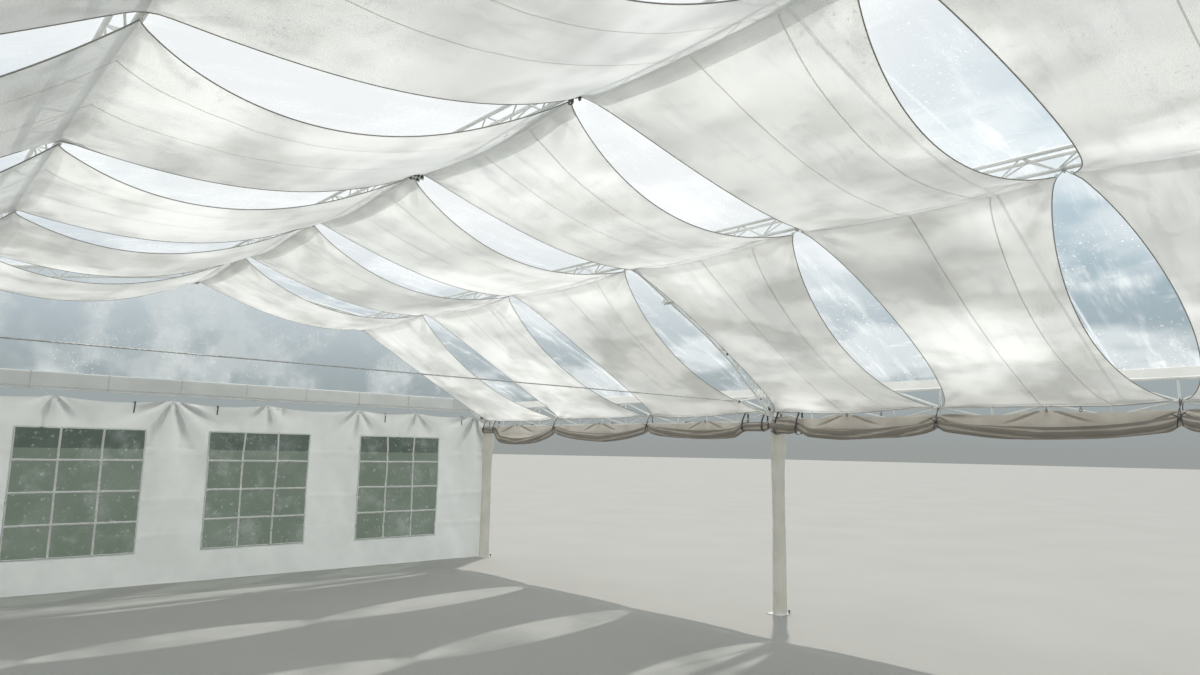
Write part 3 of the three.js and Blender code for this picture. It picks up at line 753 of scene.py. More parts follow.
for side_name, side in SIDES:
    eye = (side * CABLE_EYE, 0, CABLE_Z)
    parts = [plate(eye, (0.06, 0.008, 0.06), 0.0, 0.002)]
    parts += [bar([eye, (side * x, 0, z)], BRACKET_RADIUS) for x, z in ((4.7, 2.55), (4.99, 2.33))]
    bracket = join(f"cable_bracket_{side_name}", [painted(part, STEEL) for part in parts]
                   + [painted(bolt(eye, (0, 1, 0)), IRON)])
    dress(bracket)

# %% [markdown]
# ## Legs
# The three-tube legs stand inside their sleeves, so the solids stay and only get paint. Each foot plate is
# held down by two ground pegs with mushroomed heads.

# %% Legs and pegs
def peg(x, y):
    """A ground peg whose head has been hammered wide."""
    deselect()
    bpy.ops.mesh.primitive_cylinder_add(vertices=14, radius=0.0095, depth=0.03, location=(x, y, 0.022))
    select_faces(bpy.context.object, lambda face: face.normal.z > 0.9)
    with editing(None):
        bpy.ops.mesh.extrude_region_move(TRANSFORM_OT_translate={"value": (0, 0, 0.004)})
        bpy.ops.transform.resize(value=(1.7, 1.7, 1))
        bpy.ops.mesh.extrude_region_move(TRANSFORM_OT_translate={"value": (0, 0, 0.008)})
        bpy.ops.mesh.bevel(offset=0.003, segments=2, affect="EDGES")
    return bpy.context.object


for line_name, line_y in FRAME_LINES.items():
    for side_name, side in SIDES:
        painted(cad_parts[f"leg_{side_name}_{line_name}"], STEEL)
        pegs = [peg(side * (LEG_X + 0.094), line_y + shift) for shift in (-0.085, 0.085)]
        pegs = join(f"foot_pegs_{side_name}_{line_name}", [painted(part, IRON) for part in pegs])
        dress(pegs)

# %% [markdown]
# ## Sheets
# Every cloth and vinyl part is one open sheet: a flat grid whose points are put where a function of u and v
# says. The grid's UV map stays as it was, so threads and seams follow the cloth wherever it goes.

# %% Sheet maker
def sheet(name, columns, rows, place):
    """A grid whose points lie where place(u, v) says, with u and v from 0 to 1."""
    deselect()
    bpy.ops.mesh.primitive_grid_add(x_subdivisions=columns, y_subdivisions=rows, size=2)
    made = bpy.context.object
    made.name = made.data.name = name
    for vertex in made.data.vertices:
        vertex.co = place((vertex.co.x + 1) / 2, (vertex.co.y + 1) / 2)
    bpy.ops.object.shade_smooth()
    return made


def mark_folds(made, depth, passes=2):
    """Writes the attribute fold on each point: up to 1 in a valley and down to -1 on a ridge."""
    count, ends = len(made.data.vertices), np.empty(len(made.data.edges) * 2, int)
    spots, normals = np.empty(count * 3), np.empty(count * 3)
    made.data.vertices.foreach_get("co", spots)
    made.data.vertices.foreach_get("normal", normals)
    made.data.edges.foreach_get("vertices", ends)
    first, second = ends.reshape(-1, 2).T
    spots, normals = spots.reshape(-1, 3), normals.reshape(-1, 3)
    degree = np.bincount(ends, minlength=count)

    def around(values):
        total = np.zeros_like(values)
        np.add.at(total, first, values[second])
        np.add.at(total, second, values[first])
        return (total.T / degree).T

    hollow = ((around(spots) - spots) * normals).sum(1) / depth
    for _ in range(passes):
        hollow = (hollow + around(hollow)) / 2
    # The fold attribute feeds the painted shade in the folds of the cloth.
    mark = made.data.attributes.new("fold", "FLOAT", "POINT")
    mark.data.foreach_set("value", np.clip(hollow, -1, 1))
    return made


def soft(x, y=0.0, z=0.0):
    """Smooth repeatable noise from -1 to 1."""
    return noise.noise(Vector((x, y, z)))


def mix(start, end, part):
    """The value at a part of the way from start to end."""
    return start + (end - start) * part


def eased(value):
    """0 at or below 0, 1 at or above 1, and smooth between."""
    value = min(max(value, 0.0), 1.0)
    return value * value * (3 - 2 * value)


# %% [markdown]
# ## Leg sleeves
# Each leg wears a white cloth sleeve, closed on the outside. Pulled round three tubes it takes their
# triangular outline, with the point towards the inside of the tent, and long soft folds run down it.

# %% Sleeves
SLEEVE_CORNERS = [(0.076, 0), (0.076, 0.06), (0.052, 0.076), (-0.075, 0.024), (-0.075, -0.024),
                  (0.052, -0.076), (0.076, -0.06), (0.076, 0)]
SLEEVE_WIDTHS = [(0.0, 1.08), (0.65, 1.03), (0.88, 1.0), (1.15, 0.94), (1.43, 0.95), (1.7, 1.05),
                 (1.96, 1.24), (2.12, 1.15), (2.24, 0.95)]


def on_outline(corners, part):
    """A point at a part of the way round an outline."""
    lengths = [math.dist(a, b) for a, b in zip(corners, corners[1:])]
    left = part * sum(lengths)
    for (a, b), length in zip(zip(corners, corners[1:]), lengths):
        if left <= length:
            break
        left -= length
    return mix(a[0], b[0], left / length), mix(a[1], b[1], left / length)


def sleeve(name, side, line_y, seed):
    """A sleeve from the ground to the eave, with long folds, level creases and a gathered top."""
    def place(u, v):
        x, y = on_outline(SLEEVE_CORNERS, min(max(u, 0), 1))
        z = mix(0.0115 + 0.004 * soft(u * 5, seed), 2.238, v)
        fold = 0.0035 * soft(u * 9, z * 0.7, seed) + 0.0022 * soft(u * 22, z * 1.6, seed + 3)
        gather = 0.004 * math.sin(u * 44) * eased((v - 0.93) / 0.07)
        creased = sum(depth * math.exp(-((z - level - 0.05 * soft(u * 4, seed + level)) / 0.03) ** 2)
                      for level, depth in ((0.9, -0.06), (0.97, 0.06), (1.06, -0.05), (1.83, -0.04)))
        swell = height_on(SLEEVE_WIDTHS, z) + (fold + gather) / 0.07 + creased
        slant = 0.035 * math.cos((u - 0.5 + 0.25 * (z - 1.2)) * 2 * math.pi * 3) * eased((z - 0.5) / 0.6)
        swell = max(swell + slant, 0.9)
        return side * (LEG_X + x * swell), line_y + y * swell, z

    made = painted(sheet(name, 72, 60, place), SLEEVE)
    return made


for seed, (line_name, line_y) in enumerate(FRAME_LINES.items()):
    for side_name, side in SIDES:
        made = sleeve(f"sleeve_cloth_{side_name}_{line_name}", side, line_y, seed * 7 + side)
        dress(made, [f"leg_sleeve_{side_name}_{line_name}"])

# %% [markdown]
# ## The clear roof
# One clear sheet covers each bay. It lies over the rafters, is lightly wrinkled between them, has a white
# welded tape over each frame and a narrow weld where two widths of vinyl meet, and ends at the eaves in a
# short white skirt. Its wrinkles fade out over the frames. It isn't clear of all the steel: the corners of
# the splice plates stand 15 mm through it, and the ridge tubes up to 5 mm between the frames.

# %% Roof sheets, tapes and skirts
ROOF_EDGE, ROOF_END, ROOF_LIFT = 5.18, 6.4, 0.0195
WELD_AT, TRIM_LIFT, WELD_HALF = 2.59, 0.0016, 0.011


def roof_point(x, y, lift=0.0):
    """A point of the roof sheet, with its wrinkles."""
    to_frame = min(abs(y), abs(abs(y) - BAY))
    slack = eased(to_frame / 0.7)
    ripple = 0.008 * soft(x * 1.6, y * 1.9, 4) + 0.004 * soft(x * 5, y * 3.5, 9)
    sag = -0.012 * math.sin(math.pi * min(abs(y), BAY) / BAY)
    return x, y, upper_z(x) + ROOF_LIFT + lift + slack * (ripple + sag)


def roof_strip(name, x_span, y_span, columns, rows, lift):
    return sheet(name, columns, rows, lambda u, v: roof_point(mix(*x_span, u), mix(*y_span, v), lift))


def skirt(name, side, start, end):
    """The short white edge that hangs down outside the eave, over one bay."""
    top = upper_z(ROOF_EDGE) + ROOF_LIFT

    def place(u, v):
        y = mix(start, end, u)
        wave = (1 - v) * (0.006 * soft(y * 3.1, side * 5) + 0.003 * soft(y * 9, side * 3))
        return side * (ROOF_EDGE + 0.0015 + wave), y, mix(top - 0.112 - 0.004 * soft(y * 2), top, v)

    return sheet(name, 130, 6, place)


for bay_name, start, end in (("near", -ROOF_END, -0.0006), ("far", 0.0006, ROOF_END)):
    roof = painted(roof_strip(f"roof_vinyl_{bay_name}", (-ROOF_EDGE, ROOF_EDGE), (start, end), 168, 104, 0.0),
                   ROOF_VINYL)
    trims = []
    inner, outer = (end, start) if bay_name == "near" else (start, end)
    way = math.copysign(1, outer)
    weld = (-BAY if bay_name == "near" else 0) + WELD_AT
    for first, last in ((inner, inner + way * 0.05), (way * BAY - 0.06, way * BAY + 0.06),
                        (outer - way * 0.03, outer)):
        span = (min(first, last), max(first, last))
        trims.append(roof_strip("tape", (-ROOF_EDGE, ROOF_EDGE), span, 168, 2, TRIM_LIFT))
    trims += [skirt("skirt", side, start, end) for side in (-1, 1)]
    span = (weld - WELD_HALF, weld + WELD_HALF)
    lap = roof_strip("lap", (-ROOF_EDGE, ROOF_EDGE), span, 168, 2, TRIM_LIFT)
    trims = [painted(part, TAPE) for part in trims] + [painted(lap, WELD_VINYL)]
    trim = join(f"roof_tapes_{bay_name}", trims)
    dress(roof, [f"clear_roof_{bay_name}"])
    dress(trim)

# %% [markdown]
# ## Gable ends
# Above each gable wall runs a white beam: a light lattice wrapped in coated cloth, with thin cord lashed
# round it every stride. A clear triangle closes the gable above it, and a thin rail under it carries the
# wall.

# %% Clear gables
GABLE_Y, SILL, PANE_LIFT = 6.3553, 2.7556, 0.0165


def clear_gable(name, side):
    """The clear triangle between the beam and the roof. It reaches out to where it is 4 mm high."""
    top = upper_z(PURLIN_X) + PANE_LIFT
    reach = PURLIN_X + (top - SILL - 0.004) / ((top - upper_z(LEG_X) - PANE_LIFT) / (LEG_X - PURLIN_X))

    def place(u, v):
        x = mix(-reach, reach, u)
        z = mix(SILL, upper_z(x) + PANE_LIFT, v)
        edge = eased(min(v, 1 - v) * 6) * eased(min(u, 1 - u) * 12)
        return x, side * (GABLE_Y + edge * (0.006 * soft(x * 2, z * 3, side) + 0.003 * soft(x * 7, z * 6))), z

    return sheet(name, 150, 30, place)


for gable_name, side in GABLES.items():
    pane = painted(clear_gable(f"gable_vinyl_{gable_name}", side), ROOF_VINYL)
    dress(pane, [f"clear_gable_{gable_name}"])

# %% Beams wrapped in cloth, with lashings and the rail
BEAM_LOW, BEAM_HIGH, BEAM_HALF, BEAM_DEEP = 2.555, 2.755, 5.145, 0.03
LASHINGS = [-4.42, -3.55, -2.66, -1.77, -0.91, -0.02, 0.86, 1.75, 2.62, 3.5, 4.4]


def beam_top(x):
    return min(BEAM_HIGH, mix(BEAM_HIGH, 2.69, (abs(x) - 4.92) / 0.225))


def beam_cover(name, side):
    """The beam's coated cloth: pinched under each lashing, puckered beside it, and closed at both ends."""
    corner = 0.012

    def place(u, v):
        x = mix(-BEAM_HALF, BEAM_HALF, v)
        top = beam_top(x)
        outline = [(-BEAM_DEEP, BEAM_LOW + corner), (-BEAM_DEEP + corner, BEAM_LOW),
                   (BEAM_DEEP - corner, BEAM_LOW), (BEAM_DEEP, BEAM_LOW + corner),
                   (BEAM_DEEP, top - corner), (BEAM_DEEP - corner, top), (-BEAM_DEEP + corner, top),
                   (-BEAM_DEEP, top - corner), (-BEAM_DEEP, BEAM_LOW + corner)]
        y, z = on_outline(outline, u)
        nearest = min(abs(x - at) for at in LASHINGS)
        pinch = 0.006 * math.exp(-(nearest / 0.03) ** 2)
        pucker = 0.003 * soft(x * 14, z * 5, side) * eased(nearest / 0.02) * math.exp(-nearest / 0.2)
        slack = 0.005 * soft(x * 2.3, z * 7, side + 3)
        return x, side * GABLE_Y + y * (1 + (slack + pucker - pinch) / BEAM_DEEP), z

    made = sheet(name, 56, 260, place)
    with editing():
        bpy.ops.mesh.remove_doubles(threshold=1e-4)
        bpy.ops.mesh.select_all(action="DESELECT")
        bpy.ops.mesh.select_mode(type="EDGE")
        bpy.ops.mesh.select_non_manifold()
        bpy.ops.mesh.edge_face_add()
        bpy.ops.mesh.select_all(action="SELECT")
        bpy.ops.mesh.normals_make_consistent(inside=False)
    bpy.ops.object.shade_smooth_by_angle(angle=math.radians(55))
    return made


def lashing(x, side):
    """A cord wound twice round the beam, its ends twisted together below."""
    y, low, high, out = side * GABLE_Y, BEAM_LOW - 0.002, BEAM_HIGH + 0.002, BEAM_DEEP + 0.001
    turns = []
    for shift in (-0.006, 0.005):
        corners = [(x + shift, y - out, low), (x + shift * 0.4, y + out, low), (x + shift, y + out, high),
                   (x + shift * 0.5, y - out, high), (x + shift, y - out, low)]
        turns.append(bar(rounded(corners, 0.008), 0.0028, 6))
    turns.append(bar([(x - 0.02, y, low - 0.004), (x, y - 0.005, low - 0.009), (x + 0.022, y, low - 0.003)],
                     0.0035, 6))
    return turns


for gable_name, side in GABLES.items():
    cover = painted(beam_cover(f"beam_cloth_{gable_name}", side), BAND)
    dress(cover, [f"gable_beam_{gable_name}"])
    cords = [painted(part, WHITE_CORD) for x in LASHINGS for part in lashing(x, side)]
    rail_y = side * (GABLE_Y - 0.004)
    cords.append(painted(bar([(-5.06, rail_y, 2.538), (5.06, rail_y, 2.538)], 0.009, 10), STEEL))
    dress(join(f"beam_lashings_{gable_name}", cords))

# %% [markdown]
# ## Gable walls
# The wall is a soft white sheet that hangs from the rail at uneven places, so that its top edge rises to a
# peak at each strap and dips between them. Folds run down from each peak, and lines where it was folded for
# storage cross it level. It could be simulated, but its folds are known from the straps, so they are
# written as waves that spread from each one. Its window openings are cut out of the same grid.

# %% The wall's surface
HANGERS = {"far": [-5.06, -3.95, -2.75, -1.5, -0.1, 1.2, 2.63, 3.68, 4.85, 5.06],
           "near": [-5.06, -4.85, -3.6, -2.5, -1.2, 0.1, 1.5, 2.75, 3.95, 5.06]}
STRAPS = {"far": (-3.3, -0.58, 0.49, 3.1, 4.58), "near": (-4.5, -3.1, -0.5, 0.6, 3.3)}
WALL_HALF, WALL_TOP = 5.08, 2.462
WINDOW_CENTRES, WINDOW_HALF, WINDOW_LOW, WINDOW_HIGH = (-3.42, -1.14, 1.14, 3.42), 0.725, 0.43, 2.05
CREASES = (1.78, 1.12, 0.62)


def wall_top(name, x):
    """Height of the wall's top edge, which dips between two hangers."""
    hangers = HANGERS[name]
    for start, end in zip(hangers, hangers[1:]):
        if x <= end:
            break
    part = min(max((x - start) / (end - start), 0), 1)
    dip = 0.045 * min((end - start) / 1.2, 1.2)
    return WALL_TOP - dip * (1 - abs(2 * part - 1) ** 2)


def wall_out(name, x, z):
    """How far the wall swings out of its plane at a place, in metres."""
    top = wall_top(name, x)
    out = 0.0
    for index, hanger in enumerate(HANGERS[name]):
        across, down = x - hanger, WALL_TOP + 0.02 - z
        if abs(across) > 1.5 or down < 0:
            continue
        reach = math.hypot(across, down)
        angle = math.atan2(across, down)
        strong = 1.5 if index % 4 == 0 else 0.85
        folds = 6 if index % 2 else 8
        fading = math.exp(-reach / (1.3 if strong > 1 else 0.75))
        wave = math.cos(angle * folds + index * 1.7) * fading * min(reach / 0.1, 1)
        out += 0.034 * strong * wave
    seed = 11 if name == "far" else 31
    drop = eased((top - z) / 0.6)
    out += drop * (0.03 * soft(x * 1.3, z * 0.3, seed) + 0.014 * soft(x * 3.6 + z * 1.5, z * 0.9, seed + 1))
    out += 0.004 * soft(x * 7, z * 6, seed + 2)
    for crease in CREASES:
        level = crease + 0.03 * soft(x * 0.8, crease, seed)
        out += 0.02 * math.exp(-abs(z - level) / 0.03) * (0.7 + 0.6 * soft(x * 1.1, crease * 3, seed))
    return min(max(out, -0.05), 0.038)


def wall_point(name, x, z, lift=0.0):
    return x, GABLES[name] * (GABLE_Y + wall_out(name, x, z) + lift), z


# %% A grid whose lines fall on the window edges
def grid_lines(edges, step):
    """Positions about a step apart that pass through every edge."""
    lines = []
    for start, end in zip(edges, edges[1:]):
        count = max(1, round((end - start) / step))
        lines += [mix(start, end, index / count) for index in range(count)]
    return lines + [edges[-1]]


def cut_sheet(name, across, up, place, keep):
    """A sheet on given grid lines, without the faces whose middle keep(x, z) turns down."""
    columns, rows = len(across) - 1, len(up) - 1
    made = sheet(name, columns, rows, lambda u, v: place(across[round(u * columns)], up[round(v * rows)]))
    select_faces(made, lambda face: not keep(face.center.x, face.center.z))
    with editing(None):
        bpy.ops.mesh.delete(type="FACE")
    return made


def in_window(x, z):
    return WINDOW_LOW < z < WINDOW_HIGH and any(abs(x - centre) < WINDOW_HALF for centre in WINDOW_CENTRES)


# %% Walls
def gable_wall(name):
    """One wall. The cloth above its windows is drawn up or down to meet the wall's top edge."""
    edges = [-WALL_HALF] + [c + s * WINDOW_HALF for c in WINDOW_CENTRES for s in (-1, 1)] + [WALL_HALF]
    across = grid_lines(edges, 0.03)
    up = grid_lines([0.004, WINDOW_LOW, WINDOW_HIGH, WALL_TOP], 0.03)

    def place(x, z):
        free = eased((z - WINDOW_HIGH) / (WALL_TOP - WINDOW_HIGH))
        return wall_point(name, x, z + free * (wall_top(name, x) - WALL_TOP))

    made = cut_sheet(f"wall_sheeting_{name}", across, up, place, lambda x, z: not in_window(x, z))
    return mark_folds(painted(made, WALL), -0.003)


# %% Glazing bars and panes
LIGHTS_WIDE, LIGHTS_HIGH = 3, 4
BORDER, SEAM_HALF, HALF_BAR, BAR_THICK = 0.008, 0.006, 0.0135, 0.012


def light_bars(low, high, lights):
    """The middles of the bars between two edges of a window, and the grid edges that they need."""
    bars = [mix(low, high, index / lights) for index in range(1, lights)]
    edges = [low - BORDER, low + SEAM_HALF] + [at + side * HALF_BAR for at in bars for side in (-1, 1)]
    return bars, edges + [high - SEAM_HALF, high + BORDER]


def window_frame(name, centre):
    """The glazing bars of one window, and the narrow seam round it."""
    left, right = centre - WINDOW_HALF, centre + WINDOW_HALF
    bars_x, edges_x = light_bars(left, right, LIGHTS_WIDE)
    bars_z, edges_z = light_bars(WINDOW_LOW, WINDOW_HIGH, LIGHTS_HIGH)

    def kept(x, z):
        in_lights = left + SEAM_HALF < x < right - SEAM_HALF
        in_lights = in_lights and WINDOW_LOW + SEAM_HALF < z < WINDOW_HIGH - SEAM_HALF
        on_bar = any(abs(x - at) < HALF_BAR for at in bars_x) or any(abs(z - at) < HALF_BAR for at in bars_z)
        return on_bar or not in_lights

    def place(x, z):
        return wall_point(name, x, z + 0.004 * soft(x * 3, z * 3, centre), 0.001)

    made = cut_sheet("window_frame", grid_lines(edges_x, 0.05), grid_lines(edges_z, 0.05), place, kept)
    thick = made.modifiers.new("thick", "SOLIDIFY")
    thick.thickness, thick.offset = BAR_THICK, 0
    pick(made)
    bpy.ops.object.modifier_apply(modifier=thick.name)
    return made


def window_pane(name, centre):
    """One clear pane, a little larger than its opening."""
    def place(u, v):
        x, z = mix(centre - 0.74, centre + 0.74, u), mix(WINDOW_LOW - 0.015, WINDOW_HIGH + 0.015, v)
        crinkle = 0.003 * soft(x * 6, z * 5, centre) * eased(min(u, 1 - u, v, 1 - v) * 9)
        return wall_point(name, x, z, 0.002 + crinkle)

    return sheet("window_pane", 30, 34, place)


# %% [markdown]
# ## What holds the walls
# Thin cords run slanting from the lashings of the beam to the peaks of the wall, short dark straps that
# once held the wall rolled up hang over its top edge, and each outer edge is laced to the corner leg.

# %% Straps, cords and lacing
def hung_strap(name, x):
    """A strap over the wall's top edge that hangs down inside it."""
    side, top = GABLES[name], wall_top(name, x)
    face = side * (GABLE_Y + wall_out(name, x, top - 0.08)) - side * 0.012
    back = side * (GABLE_Y + 0.03)
    over = top + 0.012
    route = [(x, back, over - 0.03), (x, back, over), (x, face, over)]
    route.append((x - 0.002, face - side * 0.004, top - 0.14))
    return stretched(bar(rounded(route, 0.008), 0.002), (4.5, 1, 1), (x, face, top))


def wall_cord(name, x):
    """A cord from the nearest lashing of the beam to an eyelet at a peak of the wall."""
    side, top = GABLES[name], wall_top(name, x)
    lashed = min(LASHINGS, key=lambda at: abs(at - x))
    y = side * (GABLE_Y + wall_out(name, x, WALL_TOP - 0.02))
    eyelet = ring((x, y, top - 0.022), FACING_Y, 0.012, 0.0035)
    route = [(lashed, side * (GABLE_Y - 0.012), BEAM_LOW - 0.004),
             (mix(lashed, x, 0.5), y, mix(BEAM_LOW, top, 0.45)),
             (x, y - side * 0.006, top - 0.012), (x, y + side * 0.006, top - 0.026)]
    return [eyelet, bar(route, 0.0028, 6)]


def edge_lacing(side, edge):
    """A zigzag of cord through eyelets, from the wall's outer edge to the corner leg."""
    levels = [0.25 + 0.24 * index for index in range(9)]
    turns = ((5.1, 6.333), (5.074, 6.352))
    route = [(edge * turns[index % 2][0], side * turns[index % 2][1], z) for index, z in enumerate(levels)]
    rings = [ring((edge * 5.072, side * 6.355, z), FACING_Y, 0.01, 0.0032, 12) for z in levels[1::2]]
    return [bar(route, 0.0025, 6)] + rings


# %% Put the gable walls together
for gable_name, side in GABLES.items():
    wall = gable_wall(gable_name)
    frames = join(f"window_bars_{gable_name}", [window_frame(gable_name, at) for at in WINDOW_CENTRES])
    panes = join(f"window_panes_{gable_name}", [window_pane(gable_name, at) for at in WINDOW_CENTRES])
    painted(frames, GLAZING_BAR)
    painted(panes, PANE_VINYL)
    dress(wall, [f"gable_wall_{gable_name}"])
    dress(frames)
    dress(panes, [f"window_sheet_{gable_name}"])
    straps = [painted(hung_strap(gable_name, x), DARK_STRAP) for x in STRAPS[gable_name]]
    straps += [painted(part, WHITE_CORD) for x in HANGERS[gable_name] for part in wall_cord(gable_name, x)]
    straps += [painted(part, DARK_STRAP) for edge in (-1, 1) for part in edge_lacing(side, edge)]
    straps = dress(join(f"wall_straps_{gable_name}", straps))
    print(wall.name, len(wall.data.polygons), "faces")

# %% [markdown]
# ## Side curtains
# The side walls are rolled up and tied under the eaves. From its pins on the lattice each curtain hangs as
# a short panel, and then comes the roll, which is tied up tight every third of a bay and bellies between
# the ties. One long sheet makes both: it is followed from its top edge down the panel and round the roll as
# a spiral. A flat facet spreads from the pin in the middle of each swag, sharp folds run out from the ties,
# and folds along the roll draw together at each tie. Beside a leg the roll is strapped up tight and has no
# panel.

# %% Swags of a curtain
CURTAIN_X, ROLL_TURNS, PANEL = 4.948, 3.3, 0.17
CURTAIN_TOPS = {"near": 2.345, "far": 2.305}
DRAPE_PITCH = BAY / 3
SWAG_DEEPER = {1: 0.04, 2: 0.1}


def swag(y):
    """The number of a place's swag, how far through it the place is, and how loose the cloth is there."""
    number, part = divmod(y / DRAPE_PITCH, 1)
    to_leg = min(abs(y), abs(abs(y) - BAY))
    loose = (4 * part * (1 - part)) ** 0.8 * eased((to_leg - 0.36) / 0.2)
    return number, part, loose


def zigzag(turn):
    """A wave from -1 to 1 with a sharp crest at every whole number."""
    return 1 - 4 * abs(turn - math.floor(turn + 0.5))


def panel_folds(part, down, seed):
    """How far the panel's folds stand inwards. down is the distance below the top edge."""
    across = (part - 0.5) * DRAPE_PITCH
    facet = eased((1.46 - abs(math.atan2(across, down))) / 0.14)
    inwards = 0.03 * facet * min(math.hypot(across, down) / 0.12, 1)
    for pin in (0.0, 1.0):
        across = (part - pin) * DRAPE_PITCH
        reach, angle = math.hypot(across, down), math.atan2(across, down)
        inwards += 0.026 * zigzag(angle * 2.1 + seed) * math.exp(-reach / 0.5) * min(reach / 0.06, 1)
    return inwards + 0.006 * soft(part * 9, down * 6, seed)


# %% Rolled curtains
def curtain(name, side, start, top_edge, seed):
    """One long sheet over a bay. u runs down the panel and then round the roll, and v along the eave."""
    def place(u, v):
        y = mix(start + 0.03, start + BAY - 0.03, v)
        number, part, loose = swag(y)
        to_tie = min(part, 1 - part) * DRAPE_PITCH
        pinch = math.exp(-(to_tie / 0.05) ** 2)
        bundle = eased((y + 0.42) / 0.12) if start < 0 else 0.0
        roll_top = mix(2.272, 2.19, loose) - SWAG_DEEPER.get(number, 0.0) * loose
        roll_top += 0.012 * soft(y * 1.3, seed + 1)
        tall = mix(0.056, 0.064, loose) * (1 - 0.22 * pinch) + 0.03 * bundle
        wide = mix(0.046, 0.05, loose) * (1 - 0.3 * pinch) + 0.008 * bundle
        middle, centre = roll_top + 0.03 * bundle - tall, CURTAIN_X - 0.014 * bundle
        if u < PANEL:
            down = u / PANEL
            top = top_edge - 0.045 * abs(math.sin(2 * math.pi * part)) * loose ** 0.5
            top -= 0.04 * (1 - loose) ** 3
            top += 0.03 * bundle
            x = mix(0.004, wide, down ** 1.5)
            free = math.sin(math.pi * min(down * 1.15, 1)) ** 0.7
            x -= panel_folds(part, (top - roll_top) * down, seed) * free
            return side * (centre + x), y, mix(top, middle, down)
        rolled = (u - PANEL) / (1 - PANEL)
        turn = rolled * ROLL_TURNS * 2 * math.pi
        folds = zigzag(turn * 0.65 + 0.9 * soft(y * 0.5, seed) + 0.35 * zigzag(part - 0.5))
        ripple = 0.13 * folds * mix(1.5, 1.0, eased(to_tie / 0.4)) + 0.12 * soft(turn * 0.9, y * 0.9, seed)
        ripple += 0.07 * soft(turn * 2.4, y * 3, seed + 5)
        size = mix(1.0, 0.3, rolled) * (1 + ripple)
        x, z = wide * math.cos(turn) * size, middle - tall * math.sin(turn) * size
        return side * (centre + x), y, z

    return mark_folds(painted(sheet(name, 84, 400, place), CURTAIN), -side * 0.0009)


def round_roll(side, y, lean, thick, out, low):
    """A loop round the roll and the lattice tube above it, leaning along the tent."""
    section = [(4.948, low), (4.95 - out * 0.8, low + 0.012), (4.95 - out - 0.003, low + 0.05), (4.912, 2.29),
               (4.975, 2.395), (5.0, 2.414), (5.02, 2.412), (5.029, 2.395), (5.029, 2.28), (5.018, 2.256),
               (4.951 + out, low + 0.05), (4.95 + out * 0.8, low + 0.012)]
    middle = (low + 2.414) / 2
    route = [(side * x, y + lean * (z - middle), z) for x, z in section]
    return bar(route + route[:1], thick, 6, closed=True)


def strap_round_roll(side, y):
    """A flat strap, pressed from a round loop. The roll is thicker just before the middle leg."""
    out, low = (0.066, 2.118) if -0.42 < y < 0 else (0.047, 2.158)
    return stretched(round_roll(side, y, 0.0, 0.0025, out, low), (1, 5, 1), (0, y, 0))


def knotted(side, y):
    """Two turns of cord, their knot, and the two short ends that stand out of it."""
    x, z = side * 4.904, 2.245
    turns = ((-0.006, 0.12), (0.006, -0.16))
    parts = [round_roll(side, y + shift, lean, 0.0036, 0.036, 2.18) for shift, lean in turns]
    for end_y, end_z in ((0.055, 0.035), (-0.05, 0.05), (0.02, -0.075)):
        bend = (x - side * 0.012, y + end_y * 0.5, z + end_z * 0.5 + 0.006)
        parts.append(bar([(x, y, z), bend, (x - side * 0.006, y + end_y, z + end_z)], 0.0045, 6))
    return parts + [knot((x, y, z), 0.012, (0.8, 1.1, 1.25))]


# %% Four curtains and their cords
PIN_PLACES = (0.5, 0.66, 1.5, 1.36, 2.5, 2.3)

for side_name, side in SIDES:
    for bay_name, start in (("near", -BAY), ("far", 0.0)):
        edge = CURTAIN_TOPS[bay_name]
        roll = curtain(f"curtain_roll_{side_name}_{bay_name}", side, start, edge, 3 + side + start)
        dress(roll, [f"side_curtain_{side_name}_{bay_name}"])
        cords = [part for index in (1, 2) for part in knotted(side, start + DRAPE_PITCH * index)]
        by_legs = (start + 0.1, start + 0.4, start + BAY - 0.4, start + BAY - 0.1)
        cords += [strap_round_roll(side, y) for y in by_legs]
        tube = EAVE_BOTTOM if bay_name == "near" else EAVE_RAIL
        for part in PIN_PLACES:
            y = start + DRAPE_PITCH * part
            cords.append(ring((side * 4.95, y, edge - 0.012), FACING_X, 0.011, 0.0035, 12))
            cords.append(bar([(side * 4.946, y, edge - 0.004), (side * 4.98, y, tube + 0.021),
                              (side * 5.015, y, tube + 0.019), (side * 5.03, y, tube - 0.005)], 0.003, 6))
        cords = join(f"curtain_cords_{side_name}_{bay_name}", [painted(part, DARK_STRAP) for part in cords])
        held = dress(cords)

# %% [markdown]
# ## Lining drapes
# Six lengths of thin cloth hang under the roof, each tied at ten corners: to the ridge, to both purlins and
# to both eaves. Between the ties the cloth sags, and its long edges draw in, so that a lens of clear roof
# shows between two drapes. It is a hanging shape under tension, so the cloth is written as a surface through
# its edges. Their sag and draw-in were fitted to sixteen traced edges, as six kinds that all drapes share.
# The outer spans of the left side are mostly out of view, weren't traced, and are a guess. Folds fan out from
# each tie as waves in the angle round it, and fade with distance.

